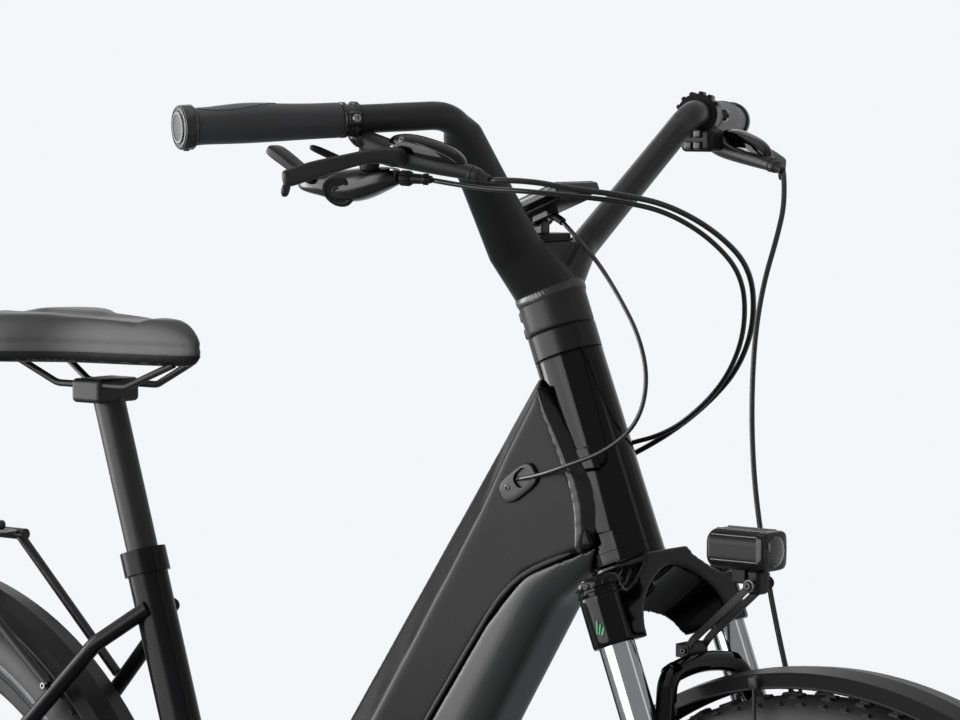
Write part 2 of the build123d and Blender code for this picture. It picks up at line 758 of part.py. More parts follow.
with BuildPart() as lever:
    with BuildSketch(bar_plane(-1, 89)):
        Circle(15.5)
    extrude(amount=14)
    for outline in (CYLINDER, RESERVOIR):
        for along, above, radius in outline:
            with BuildSketch(lever_plane(along, above)):
                Circle(radius)
        loft()
    with BuildSketch(lever_plane(108, 4)):
        Circle(4.6)
    with BuildSketch(lever_plane(120, 4.5)):
        Circle(3.6)
    loft()
    add(box_at((265, -254, 1171), (14, 14, 16), 3))
    add(tube_between((303, -240, 1157), (310, -262, 1155.5), 8))
    add(tube_between((309, -259, 1155.5), (295, -299, 1154), 6.6, 6.0))
    add(tube_between((297, -294, 1154.2), (278, -361, 1140), 5.2, 4.6))


for side, label in ((-1, "lever_right"), (1, "lever_left")):
    with BuildPart() as lever_part:
        add(lever.part if side < 0 else mirror(lever.part, about=Plane.XZ, mode=Mode.PRIVATE))
        add(handlebar.part, mode=Mode.SUBTRACT)
    save(lever_part.part, label)
    if side < 0:
        lever_part_right = lever_part.part

with BuildPart() as shifter:
    add(box_at((240, -228, 1133), (84, 30, 26), 9, 5))
    add(box_at((268, -238, 1154), (20, 20, 26), 4))
    add(box_at((186, -243, 1147), (50, 18, 10), 3, 33))
    add(tube_between((272, -223, 1137.5), (312, -216, 1137), 5))
    add(handlebar.part, mode=Mode.SUBTRACT)
    add(lever_part_right, mode=Mode.SUBTRACT)
save(shifter.part, "shifter")

with BuildPart() as remote:
    with BuildSketch(bar_plane(1, 30)):
        Circle(19)
    extrude(amount=26)
    at = bar_point(1, 41)
    add(box_at((at.X + 4, at.Y, at.Z - 24), (36, 24, 22), 5))
    add(handlebar.part, mode=Mode.SUBTRACT)
save(remote.part, "remote")

with BuildPart() as display:
    add(box_at((269, 0, 1113), (76, 62, 10), 3, -21))
    add(tube_between((259, -10, 1099), (259, 10, 1099), 9))
    add(box_at((271, -6, 1102), (20, 16, 12), 2, -21))
    add(box_at((262, 0, 1085), (12, 12, 22), 2))
    add(handlebar.part, mode=Mode.SUBTRACT)
save(display.part, "display")

# ---- fork ----
FRONT_VIEW = Plane(origin=HEAD, x_dir=(0, 1, 0), z_dir=FORE)
CROWN_SIDE = [(0, -1), (31, -1), (36, -9), (58, -24), (72, -30), (104, -30), (104, -74), (0, -74)]


def arch_outline(fore, apex, reach):
    """The outline of the crown's underside at a distance in front of the axis."""
    side = [(0, apex), (28, apex - 9), (46, apex - 22), (58, apex - 37), (reach, -76), (reach, -90)]
    left = [(-y, t) for y, t in side[::-1]]
    with BuildSketch(FRONT_VIEW.offset(fore), mode=Mode.PRIVATE) as sketch:
        with BuildLine():
            Spline(*(left[1:] + side[1:-1]))
            Polyline(side[-2], side[-1], left[0], left[1])
        make_face()
    return sketch.sketch


with BuildPart() as fork_crown:
    with BuildSketch(steer_plane(-74)):
        Circle(30)
        with Locations((LEG_X, LEG_Y), (LEG_X, -LEG_Y)):
            Circle(SOCKET_R)
        make_hull()
    extrude(amount=73)
    with BuildSketch(FRONT_VIEW):
        Polygon(*(CROWN_SIDE[:-1] + [(-y, t) for y, t in CROWN_SIDE[:0:-1]][1:]), align=None)
    extrude(amount=60, both=True, mode=Mode.INTERSECT)
    # The arms fall away behind, so that they pass under the frame.
    with BuildPart(steer_plane(-24, -28), mode=Mode.PRIVATE) as relief:
        Box(56, 240, 40, rotation=(0, -20, 0), align=(Align.CENTER, Align.CENTER, Align.MIN))
    add(relief.part, mode=Mode.SUBTRACT)
    with BuildSketch(steer_plane(-40)):
        Circle(30)
    extrude(amount=39)
    with BuildPart(mode=Mode.PRIVATE) as arch:
        add(arch_outline(-40, -42, 62))
        add(arch_outline(60, -10, 62))
        loft()
    add(arch.part, mode=Mode.SUBTRACT)
    with BuildSketch(steer_plane(-60)):
        Circle(13)
    extrude(amount=38, mode=Mode.SUBTRACT)
    for side, top, cap_r in ((-1, 15, 20), (1, 8, 17)):
        with BuildSketch(steer_plane(-30, LEG_X, side * LEG_Y)):
            Circle(cap_r)
        extrude(amount=top)
print("fork_crown solids", len(fork_crown.part.solids()), fork_crown.part.is_valid)
save(fork_crown.part, "fork_crown")

with BuildPart() as fork_stanchions:
    for side in (-1, 1):
        with BuildSketch(steer_plane(-160, LEG_X, side * LEG_Y)):
            Circle(STANCHION_R)
        extrude(amount=86)
save(fork_stanchions.part, "fork_stanchions")

with BuildPart() as fork_lowers:
    for side in (-1, 1):
        with BuildSketch(steer_plane(-AXLE_DROP - 14, LEG_X, side * LEG_Y)):
            Circle(18)
        with BuildSketch(steer_plane(-160, LEG_X, side * LEG_Y)):
            Circle(LOWER_R)
        loft()
        drop = steer(-AXLE_DROP + 4, LEG_X + 12, side * 60)
        with BuildPart(Plane(origin=drop, x_dir=FORE, z_dir=UP), mode=Mode.PRIVATE) as dropout:
            Box(54, 14, 46)
            fillet(dropout.edges().filter_by(Axis.Y), 8)
        add(dropout.part)
    with BuildLine() as arch:
        FilletPolyline(
            steer(-176, 36, -LEG_Y),
            steer(-112, 42, -52),
            steer(-99, 42, 0),
            steer(-112, 42, 52),
            steer(-176, 36, LEG_Y),
            radius=[28, 200, 28],
        )
    with BuildSketch(Plane(origin=arch.line @ 0, z_dir=arch.line % 0)):
        Circle(9)
    sweep(path=arch.line)
    add(disc_y(FRONT_AXLE, 0, 6.0, 150), mode=Mode.SUBTRACT)
    add(fork_stanchions.part, mode=Mode.SUBTRACT)
save(fork_lowers.part, "fork_lowers")

with BuildPart() as front_axle:
    add(disc_y(FRONT_AXLE, 0, 6.0, 134))
    for side in (-1, 1):
        add(disc_y(FRONT_AXLE, side * 68, 9.0, 5))
    add(fork_lowers.part, mode=Mode.SUBTRACT)
save(front_axle.part, "front_axle")

with BuildPart() as front_mudguard:
    add(mudguard(FRONT_AXLE, 42, 168))
    add(fork_lowers.part, mode=Mode.SUBTRACT)
save(front_mudguard.part, "front_mudguard")

with BuildPart() as front_caliper:
    add(caliper(FRONT_AXLE, 38, 90, 152, 29, 56))
    add(fork_lowers.part, mode=Mode.SUBTRACT)
save(front_caliper.part, "front_caliper")

# ---- headlight ----
with BuildPart() as headlight:
    with BuildPart(Plane(origin=(486.5, 0, 816.5)), mode=Mode.PRIVATE) as shell:
        Box(61, 39, 34.5)
        fillet(shell.edges().filter_by(Axis.X), 12)
        fillet(shell.faces().sort_by(Axis.X)[0].edges(), 7)
        fillet(shell.faces().sort_by(Axis.X)[-1].edges(), 3)
    add(shell.part)
    add(box_at((484.5, 0, 794), (15, 16, 14), 1.5))
    add(box_at((500, 0, 789), (13, 18, 22), 4))
save(headlight.part, "headlight")

with BuildPart() as headlight_bracket:
    for side in (-1, 1):
        with BuildLine() as strip:
            FilletPolyline(
                (431, side * 12.5, 722),
                (441, side * 12.5, 735),
                (500.6, side * 12.5, 786.9),
                radius=20,
            )
        with BuildSketch(Plane(origin=strip.line @ 0, x_dir=(0, 1, 0), z_dir=strip.line % 0)):
            Rectangle(3, 6)
        sweep(path=strip.line)
    add(tube_between((500.6, -15, 786.9), (500.6, 15, 786.9), 3.5))
    add(box_at((430, 0, 724), (14, 30, 12), 1))
    add(headlight.part, mode=Mode.SUBTRACT)
    add(fork_lowers.part, mode=Mode.SUBTRACT)
save(headlight_bracket.part, "headlight_bracket")


# ---- cranks and pedals ----
def crank(side, reach):
    """A crank arm with its spindle stub; reach is +1 forward or -1 back."""
    x0, z0 = CRANK_AXIS
    y = side * 85
    x1 = x0 + reach * CRANK_LENGTH
    with BuildPart(mode=Mode.PRIVATE) as arm:
        add(disc_y((x0, z0), y, 21, 14))
        add(disc_y((x1, z0), y, 15, 13))
        outline = [(x0, z0 - 17), (x1, z0 - 12), (x1, z0 + 12), (x0, z0 + 17)]
        if reach < 0:
            outline = outline[::-1]
        add(plate_y(outline, y, 12.5))
        add(disc_y((x0, z0), side * 62.5, 13, 32))
    return arm.part


with BuildPart() as crank_right:
    add(crank(-1, 1))
save(crank_right.part, "crank_right")

with BuildPart() as crank_left:
    add(crank(1, -1))
save(crank_left.part, "crank_left")

with BuildPart() as chainring:
    with BuildSketch(Plane(origin=(CRANK_AXIS[0], CHAIN_Y, CRANK_AXIS[1]), x_dir=(1, 0, 0), z_dir=(0, -1, 0))):
        Circle(RING_R + 2)
        Circle(RING_R - 15, mode=Mode.SUBTRACT)
        Circle(24)
        with PolarLocations(42, 5):
            Rectangle(52, 14)
        Circle(13, mode=Mode.SUBTRACT)
    extrude(amount=0.9, both=True)
    add(disc_y(CRANK_AXIS, CHAIN_Y - 7, RING_R + 9, 3, RING_R - 16))
    for index in range(5):
        angle = math.radians(72 * index)
        bolt = (CRANK_AXIS[0] + 67 * math.cos(angle), CRANK_AXIS[1] + 67 * math.sin(angle))
        add(disc_y(bolt, CHAIN_Y - 4, 4.5, 9))
save(chainring.part, "chainring")


def pedal(side, x):
    """A platform pedal with an open cage look and its axle stub."""
    z = CRANK_AXIS[1]
    with BuildPart(mode=Mode.PRIVATE) as body:
        add(tube_between((x, side * 92, z), (x, side * 104, z), 6))
        with BuildPart(Plane(origin=(x, side * 147, z)), mode=Mode.PRIVATE) as block:
            Box(98, 90, 20)
            fillet(block.edges().filter_by(Axis.Z), 14)
            fillet(block.edges().filter_by(Axis.Z, reverse=True), 3)
            for offset in (-28, 28):
                with Locations((offset, 0, 0)):
                    Box(24, 62, 30, mode=Mode.SUBTRACT)
        add(block.part)
    return body.part


with BuildPart() as pedal_right:
    add(pedal(-1, CRANK_AXIS[0] + CRANK_LENGTH))
save(pedal_right.part, "pedal_right")

with BuildPart() as pedal_left:
    add(pedal(1, CRANK_AXIS[0] - CRANK_LENGTH))
save(pedal_left.part, "pedal_left")

# ---- centre stand ----
with BuildPart() as stand:
    px, pz = STAND_PIVOT
    add(disc_y(STAND_PIVOT, 0, 7.5, 72))
    for side in (-1, 1):
        add(disc_y(STAND_PIVOT, side * 42, 12, 15))
        with BuildLine() as leg_line:
            FilletPolyline(
                (px, side * 42, pz),
                (px + 7, side * 42, 78),
                (px + 10, side * 96, 12),
                radius=40,
            )
        with BuildSketch(Plane(origin=(px, side * 42, pz), z_dir=(0.04, 0, -1))):
            Circle(8)
        sweep(path=leg_line.line)
        add(box_at((px + 10, side * 97, 9), (44, 26, 18), 4))
save(stand.part, "stand")

# ---- hoses and cables ----
FRONT_HOSE = [
    (376.8, 215.9, 1136.6), (386, 206, 1112), (389, 188.5, 1078), (387, 170.5, 1038), (387, 157.5, 994),
    (390.5, 147.5, 948), (397, 138, 902), (408, 127, 856), (422.5, 117.5, 808), (438, 111, 756),
    (456, 107, 698), (475, 108, 634), (491, 110, 568), (501, 110, 506), (506, 107, 456), (503, 97, 424),
    (499, 79, 406), (498, 57.2, 400),
]
REAR_HOSE = [
    (376.6, -215.8, 1137.4), (404, -204, 1138), (436, -178, 1130), (460, -142, 1125), (475, -98, 1116),
    (487, -45, 1092), (487, 6, 1059), (466, 42, 1011), (434, 66, 969), (393, 80, 935), (346, 84, 903),
    (303, 69, 877), (277, 47, 862),
]
SHIFT_CABLE = [
    (314.5, -215.6, 1136.5), (354, -205.5, 1130), (396, -196, 1128.5), (431, -174, 1124.5),
    (456, -139, 1119.5), (471, -95, 1110), (482, -46, 1086), (481, 2.5, 1052.5), (459.5, 37.5, 1005),
    (428, 60.5, 964.5), (390, 75, 932), (345, 78, 902), (300, 64, 890), (269, 47, 871.5),
]
DISPLAY_CABLE = [
    (284, -6, 1101), (306, -8, 1084), (335, -12, 1061), (366, -22, 1032), (396, -32, 998),
    (412, -41, 961), (407, -49, 924), (379, -58, 899), (338, -61, 884), (301, -55, 872),
    (273, -47, 867),
]

with BuildPart() as front_brake_hose:
    add(cord_tube("front_brake_hose", FRONT_HOSE, 5.0))
save(front_brake_hose.part, "front_brake_hose")

with BuildPart() as rear_brake_hose:
    add(cord_tube("rear_brake_hose", REAR_HOSE, 5.0))
save(rear_brake_hose.part, "rear_brake_hose")

with BuildPart() as shift_cable:
    add(cord_tube("shift_cable", SHIFT_CABLE, 4.5))
save(shift_cable.part, "shift_cable")

with BuildPart() as display_cable:
    add(cord_tube("display_cable", DISPLAY_CABLE, 4.0))
save(display_cable.part, "display_cable")
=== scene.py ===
"""Dresses a step-through electric bicycle: finishes on its frame and cockpit, and the fine pieces on them.

Every piece is in metres, +X forward, +Y to the rider's left, +Z up, with the ground at z = 0.
"""

from __future__ import annotations

import json
import logging
import math
from contextlib import contextmanager
from dataclasses import dataclass
from enum import Enum
from typing import Callable, Iterator, Sequence

import bmesh
import bpy
from mathutils import Matrix, Vector

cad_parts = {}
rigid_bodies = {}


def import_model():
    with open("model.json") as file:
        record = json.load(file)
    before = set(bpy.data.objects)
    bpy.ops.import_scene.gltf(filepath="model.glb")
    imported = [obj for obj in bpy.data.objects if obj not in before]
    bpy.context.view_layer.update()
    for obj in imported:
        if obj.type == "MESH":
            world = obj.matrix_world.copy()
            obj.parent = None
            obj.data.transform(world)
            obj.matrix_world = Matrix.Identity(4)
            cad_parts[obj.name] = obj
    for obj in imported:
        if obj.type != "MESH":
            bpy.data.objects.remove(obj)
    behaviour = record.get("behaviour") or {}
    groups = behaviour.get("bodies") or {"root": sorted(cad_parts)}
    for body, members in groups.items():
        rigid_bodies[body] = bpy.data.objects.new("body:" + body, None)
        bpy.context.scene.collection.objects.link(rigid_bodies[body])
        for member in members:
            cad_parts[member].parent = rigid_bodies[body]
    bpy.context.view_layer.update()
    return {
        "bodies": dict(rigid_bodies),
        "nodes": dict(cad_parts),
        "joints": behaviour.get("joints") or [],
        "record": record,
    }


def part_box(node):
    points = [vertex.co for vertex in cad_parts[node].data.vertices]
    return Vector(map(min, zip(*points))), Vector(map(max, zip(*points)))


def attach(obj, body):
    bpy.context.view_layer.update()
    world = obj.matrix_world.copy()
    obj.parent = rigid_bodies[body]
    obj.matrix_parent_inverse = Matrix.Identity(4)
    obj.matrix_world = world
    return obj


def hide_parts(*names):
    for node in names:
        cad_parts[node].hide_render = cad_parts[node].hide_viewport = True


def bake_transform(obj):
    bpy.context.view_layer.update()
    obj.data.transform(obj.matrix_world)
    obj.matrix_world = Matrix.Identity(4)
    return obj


LOG = logging.getLogger("bicycle")
Point = tuple[float, float, float]

HEAD_TILT = math.radians(21.0)
STEER_UP = Vector((-math.sin(HEAD_TILT), 0.0, math.cos(HEAD_TILT)))
STEER_FORE = Vector((math.cos(HEAD_TILT), 0.0, math.sin(HEAD_TILT)))
LEFT = Vector((0.0, 1.0, 0.0))
STEER_FOOT = Vector((0.3625, 0.0, 0.7963))
BAR_BEND = Vector((0.3023, -0.1751, 1.1913))
BAR_DIR = Vector((-0.44584, -0.89421, -0.04013))
FRONT_AXLE = Vector((0.581, 0.0, 0.350))
REAR_AXLE = Vector((-0.559, 0.0, 0.350))
CRANK_AXIS = Vector((-0.097, 0.0, 0.300))
GUIDE_PULLEY = Vector((-0.576, 0.0, 0.284))
TENSION_PULLEY = Vector((-0.556, 0.0, 0.205))
MIRROR = Matrix.Diagonal((1.0, -1.0, 1.0, 1.0))
FULL_TURN = 2 * math.pi
SEAM_GAP = 2e-5
TIP = 0.0001


# ---------------------------------------------------------------- finishes


class NodeSheet:
    """A material's node tree, with short calls for the nodes that the finishes use."""

    def __init__(self, name: str) -> None:
        """Start an empty material with a Principled shader.

        Args:
            name: The material's name.
        """
        self.material = bpy.data.materials.new(name)
        self.material.use_nodes = True
        self.tree = self.material.node_tree
        self.tree.nodes.clear()
        self.output = self.tree.nodes.new("ShaderNodeOutputMaterial")
        self.shader = self.tree.nodes.new("ShaderNodeBsdfPrincipled")
        self.tree.links.new(self.shader.outputs["BSDF"], self.output.inputs["Surface"])
        self.coords = self.tree.nodes.new("ShaderNodeTexCoord")

    def set(self, **values: object) -> None:
        """Set the shader's own sockets.

        Args:
            values: Socket names, with underscores for spaces, and their values.
        """
        for key, value in values.items():
            self.shader.inputs[key.replace("_", " ")].default_value = value

    def link(self, source: bpy.types.NodeSocket, target: str) -> None:
        """Feed a socket of the shader."""
        self.tree.links.new(source, self.shader.inputs[target])

    def noise(self, scale: float, detail: float = 3.0, rough: float = 0.55,
              stretch: Point = (1.0, 1.0, 1.0), from_uv: bool = False) -> bpy.types.NodeSocket:
        """A noise pattern on the piece.

        Args:
            scale: Cells a metre.
            detail: Octaves.
            rough: How strong the fine octaves are.
            stretch: Scale of each axis.
            from_uv: Follow the piece's own map and not its place.

        Returns:
            The noise's factor.
        """
        node = self.tree.nodes.new("ShaderNodeTexNoise")
        node.inputs["Scale"].default_value = scale
        node.inputs["Detail"].default_value = detail
        node.inputs["Roughness"].default_value = rough
        self.tree.links.new(self.placed(stretch, from_uv), node.inputs["Vector"])
        return node.outputs["Fac"]

    def placed(self, stretch: Point = (1.0, 1.0, 1.0), from_uv: bool = False,
               turn: Point = (0.0, 0.0, 0.0)) -> bpy.types.NodeSocket:
        """Coordinates on the piece, stretched and turned by a mapping."""
        mapping = self.tree.nodes.new("ShaderNodeMapping")
        mapping.inputs["Scale"].default_value = stretch
        mapping.inputs["Rotation"].default_value = turn
        source = self.coords.outputs["UV" if from_uv else "Object"]
        self.tree.links.new(source, mapping.inputs["Vector"])
        return mapping.outputs["Vector"]

    def ramp(self, source: bpy.types.NodeSocket, low: float, high: float,
             dark: Sequence[float], light: Sequence[float]) -> bpy.types.NodeSocket:
        """A colour that goes from dark to light as the source goes from low to high."""
        node = self.tree.nodes.new("ShaderNodeValToRGB")
        node.color_ramp.elements[0].position = low
        node.color_ramp.elements[1].position = high
        node.color_ramp.elements[0].color = (*dark, 1.0)
        node.color_ramp.elements[1].color = (*light, 1.0)
        self.tree.links.new(source, node.inputs["Fac"])
        return node.outputs["Color"]

    def tint(self, source: bpy.types.NodeSocket, low: float, high: float, colour: Point, down: float,
             up: float) -> None:
        """Let the base colour drift between a darker and a lighter shade of one colour."""
        dark = tuple(c * down for c in colour)
        light = tuple(min(1.0, c * up) for c in colour)
        self.link(self.ramp(source, low, high, dark, light), "Base Color")

    def span(self, source: bpy.types.NodeSocket, low: float, high: float) -> bpy.types.NodeSocket:
        """A value from low to high as the source goes from 0 to 1."""
        node = self.tree.nodes.new("ShaderNodeMapRange")
        node.inputs["To Min"].default_value = low
        node.inputs["To Max"].default_value = high
        self.tree.links.new(source, node.inputs["Value"])
        return node.outputs["Result"]

    def eased(self, radius: float = 0.0009) -> bpy.types.NodeSocket:
        """A normal that rounds the solid's sharp edges by a radius."""
        node = self.tree.nodes.new("ShaderNodeBevel")
        node.samples = 4
        node.inputs["Radius"].default_value = radius
        return node.outputs["Normal"]

    def bump(self, height: bpy.types.NodeSocket, depth: float, strength: float = 1.0,
             under: bpy.types.NodeSocket | None = None) -> bpy.types.NodeSocket:
        """A bump of a height pattern.

        Args:
            height: The pattern.
            depth: Its height in metres.
            strength: How strongly it shows.
            under: The normal of a coarser bump below it.

        Returns:
            The bumped normal.
        """
        node = self.tree.nodes.new("ShaderNodeBump")
        node.inputs["Distance"].default_value = depth
        node.inputs["Strength"].default_value = strength
        self.tree.links.new(height, node.inputs["Height"])
        if under is not None:
            self.tree.links.new(under, node.inputs["Normal"])
        return node.outputs["Normal"]


@dataclass(frozen=True)
class Paint:
    """Sprayed or coated metal.

    Attributes:
        name: The material's name.
        colour: Its base colour.
        roughness: The mean roughness.
        coat: Strength of the clear coat.
        coat_roughness: How dull that coat is.
        metallic: Metal flake share.
        peel: Height of the orange peel, in metres.
        grain: Scale of the flake or grit, in cells a metre.
        level: How strongly the surface mirrors what faces it.
    """

    name: str
    colour: Point
    roughness: float
    coat: float = 0.0
    coat_roughness: float = 0.05
    metallic: float = 0.0
    peel: float = 0.00001
    grain: float = 900.0
    level: float = 0.3

    def build(self) -> bpy.types.Material:
        """Make the material.

        Returns:
            The new material.
        """
        sheet = NodeSheet(self.name)
        sheet.set(Coat_Weight=self.coat, Coat_Roughness=self.coat_roughness, Metallic=self.metallic,
                  Specular_IOR_Level=self.level)
        sheet.tint(sheet.noise(7.0, 4.0), 0.35, 0.65, self.colour, 0.86, 1.14)
        haze = sheet.noise(34.0, 6.0, 0.65)
        sheet.link(sheet.span(haze, self.roughness * 0.82, self.roughness * 1.18), "Roughness")
        peel = sheet.bump(sheet.noise(160.0, 2.0), self.peel, 0.5, sheet.eased())
        fine = sheet.bump(sheet.noise(self.grain, 2.0), self.peel * 0.6, 0.4, peel)
        sheet.link(fine, "Normal")
        return sheet.material


@dataclass(frozen=True)
class Moulded:
    """Moulded plastic or rubber with a fine spark-eroded grain.

    Attributes:
        name: The material's name.
        colour: Its base colour.
        roughness: The mean roughness.
        grain: Scale of the grain, in cells a metre.
        depth: Its height, in metres.
        sheen: A soft edge light, as on rubber.
        level: How strongly the surface mirrors what faces it.
    """

    name: str
    colour: Point
    roughness: float
    grain: float = 1400.0
    depth: float = 0.00003
    sheen: float = 0.0
    level: float = 0.3

    def build(self) -> bpy.types.Material:
        """Make the material.

        Returns:
            The new material.
        """
        sheet = NodeSheet(self.name)
        sheet.set(Sheen_Weight=self.sheen, Sheen_Roughness=0.5, Specular_IOR_Level=self.level)
        cloud = sheet.noise(22.0, 5.0, 0.6)
        sheet.tint(cloud, 0.32, 0.7, self.colour, 0.8, 1.25)
        sheet.link(sheet.span(cloud, self.roughness * 0.85, self.roughness * 1.15), "Roughness")
        sheet.link(sheet.bump(sheet.noise(self.grain, 3.0), self.depth, 0.6, sheet.eased()), "Normal")
        return sheet.material


@dataclass(frozen=True)
class Metal:
    """Bare or plated metal, turned or brushed.

    Attributes:
        name: The material's name.
        colour: Its base colour.
        roughness: The mean roughness.
        stretch: Scale of each axis, to draw the brushing out along one of them.
        depth: Height of the brushing, in metres.
    """

    name: str
    colour: Point
    roughness: float
    stretch: Point = (1.0, 1.0, 1.0)
    depth: float = 0.000006

    def build(self) -> bpy.types.Material:
        """Make the material.

        Returns:
            The new material.
        """
        sheet = NodeSheet(self.name)
        sheet.set(Metallic=1.0)
        brush = sheet.noise(700.0, 4.0, 0.6, self.stretch)
        sheet.tint(brush, 0.3, 0.7, self.colour, 0.88, 1.08)
        sheet.link(sheet.span(sheet.noise(60.0, 5.0), self.roughness * 0.75, self.roughness * 1.3), "Roughness")
        sheet.link(sheet.bump(brush, self.depth, 0.6), "Normal")
        return sheet.material


@dataclass(frozen=True)
class Clear:
    """Clear moulded lens."""

    name: str
    roughness: float = 0.03

    def build(self) -> bpy.types.Material:
        """Make the material.

        Returns:
            The new material.
        """
        sheet = NodeSheet(self.name)
        sheet.set(Transmission_Weight=1.0, IOR=1.45)
        tint = sheet.noise(60.0, 2.0)
        sheet.link(sheet.ramp(tint, 0.3, 0.7, (0.93, 0.95, 0.95), (0.97, 0.98, 0.98)), "Base Color")
        sheet.link(sheet.span(tint, self.roughness * 0.7, self.roughness * 1.4), "Roughness")
        return sheet.material


FINISHES: dict[str, Paint | Moulded | Metal | Clear] = {finish.name: finish for finish in (
    Paint("frame_gloss", (0.0012, 0.0012, 0.0014), 0.08, peel=0.000003, level=0.10),
    Paint("frame_charcoal", (0.0046, 0.0046, 0.0053), 0.28, peel=0.000006, level=0.065),
    Paint("battery_matte", (0.0260, 0.0260, 0.0265), 0.42, peel=0.000012, level=0.26),
    Paint("satin_black", (0.0150, 0.0150, 0.0155), 0.40, grain=2400.0, level=0.12),
    Moulded("black_plastic", (0.0075, 0.0075, 0.0075), 0.40, level=0.09),
    Moulded("gloss_plastic", (0.006, 0.006, 0.0065), 0.12, 900.0, 0.000004, level=0.22),
    Moulded("grip_rubber", (0.016, 0.016, 0.017), 0.52, 900.0, 0.00004, 0.08, 0.25),
    Moulded("tyre_rubber", (0.018, 0.018, 0.018), 0.66, 500.0, 0.00008, 0.08),
    Moulded("hose", (0.006, 0.006, 0.006), 0.30, 1600.0, 0.00001, level=0.22),
    Metal("steel", (0.11, 0.11, 0.112), 0.34),
    Metal("chrome", (0.20, 0.205, 0.21), 0.10, (1.0, 1.0, 6.0), 0.000002),
    Moulded("saddle_cover", (0.016, 0.016, 0.016), 0.52, 620.0, 0.00009, 0.1),
    Moulded("red_lens", (0.40, 0.010, 0.010), 0.14, 300.0, 0.00002),
    Paint("weld_bead", (0.014, 0.014, 0.0145), 0.30, coat_roughness=0.3, grain=1500.0, level=0.34),
    Paint("spacer_satin", (0.006, 0.006, 0.0065), 0.32, peel=0.000008, grain=2600.0, level=0.12),
    Metal("bright_edge", (0.06, 0.06, 0.063), 0.32),
    Paint("ring_satin", (0.008, 0.008, 0.0085), 0.30, coat_roughness=0.3, peel=0.000008, grain=2600.0, level=0.25),
    Metal("badge_grey", (0.07, 0.071, 0.073), 0.40),
    Moulded("grip_palm", (0.055, 0.057, 0.060), 0.62, 420.0, 0.0003, 0.1, 0.3),
    Paint("clamp_gloss", (0.004, 0.004, 0.0042), 0.20, peel=0.000005, level=0.22),
    Paint("tank_gloss", (0.0025, 0.0025, 0.0027), 0.07, peel=0.000002, level=0.16),
    Paint("case_gloss", (0.003, 0.003, 0.0032), 0.22, peel=0.000006, level=0.2),
    Metal("bolt_steel", (0.13, 0.128, 0.122), 0.28),
    Metal("trim_light", (0.11, 0.11, 0.108), 0.35),
    # Weld paint: its ripple bump is real, but its base colour is lighter than frame_charcoal as painted light on
    # the band.
    Paint("weld_charcoal_painted_light", (0.0060, 0.0060, 0.0066), 0.24, peel=0.00002, grain=500.0, level=0.16),
    Moulded("port_plastic", (0.004, 0.004, 0.004), 0.34, 1800.0, 0.00001, level=0.18),
    Paint("accent_green", (0.020, 0.30, 0.090), 0.3),
    Clear("lens_clear"),
    Paint("rib_gloss", (0.016, 0.016, 0.016), 0.16, level=0.5),
    Moulded("reflex_band", (0.34, 0.345, 0.35), 0.42, 900.0, 0.00002),
    Moulded("amber_lens", (0.62, 0.20, 0.010), 0.18, 300.0, 0.00002),
    Metal("mirror_bowl", (0.62, 0.63, 0.64), 0.14, depth=0.000004),
    Metal("bolt_black", (0.025, 0.025, 0.025), 0.30),
)}


class Wardrobe:
    """Makes each finish once and hands it out by its name."""

    def __init__(self) -> None:
        """Start with nothing made."""
        self.made: dict[str, bpy.types.Material] = {}

    def get(self, slot: str) -> bpy.types.Material:
        """The material of a slot, made on first use.

        Args:
            slot: A key of FINISHES.

        Returns:
            The material.
        """
        if slot not in self.made:
            self.made[slot] = FINISHES[slot].build()
        return self.made[slot]

    def dress(self, piece: bpy.types.Object, slot: str, finish: str | None = None) -> None:
        """Give a piece one finish all over.

        Args:
            piece: The piece.
            slot: The record's slot that it belongs to.
            finish: A finish of its own, if not the slot's.
        """
        piece.data.materials.clear()
        piece.data.materials.append(self.get(finish or slot))


# ---------------------------------------------------------------- the modelling bench


def linked(name: str, data: bpy.types.ID) -> bpy.types.Object:
    """A new object in the scene that shows some data."""
    piece = bpy.data.objects.new(name, data)
    bpy.context.scene.collection.objects.link(piece)
    return piece


def drawn(name: str, points: Sequence[Sequence[float]], order: int, steps: int) -> bpy.types.Object:
    """A smooth curve near some points.

    Args:
        name: The curve's name.
        points: The points, which it starts and ends on.
        order: How many of them pull on each stretch.
        steps: Steps from one to the next.

    Returns:
        The curve's object.
    """
    data = bpy.data.curves.new(name, "CURVE")
    data.dimensions = "3D"
    data.resolution_u = steps
    spline = data.splines.new("NURBS")
    spline.points.add(len(points) - 1)
    for point, place in zip(spline.points, points):
        point.co = (*place, 1.0)
    spline.order_u = order
    spline.use_endpoint_u = True
    return linked(name, data)


def only(piece: bpy.types.Object) -> None:
    """Make one piece the active one, with nothing else selected."""
    bpy.ops.object.select_all(action="DESELECT")
    piece.select_set(True)
    bpy.context.view_layer.objects.active = piece


@contextmanager
def editing(piece: bpy.types.Object) -> Iterator[None]:
    """Hold one piece in edit mode, with nothing else selected.

    Args:
        piece: The piece to edit.
    """
    only(piece)
    bpy.ops.object.mode_set(mode="EDIT")
    try:
        yield
    finally:
        bpy.ops.object.mode_set(mode="OBJECT")


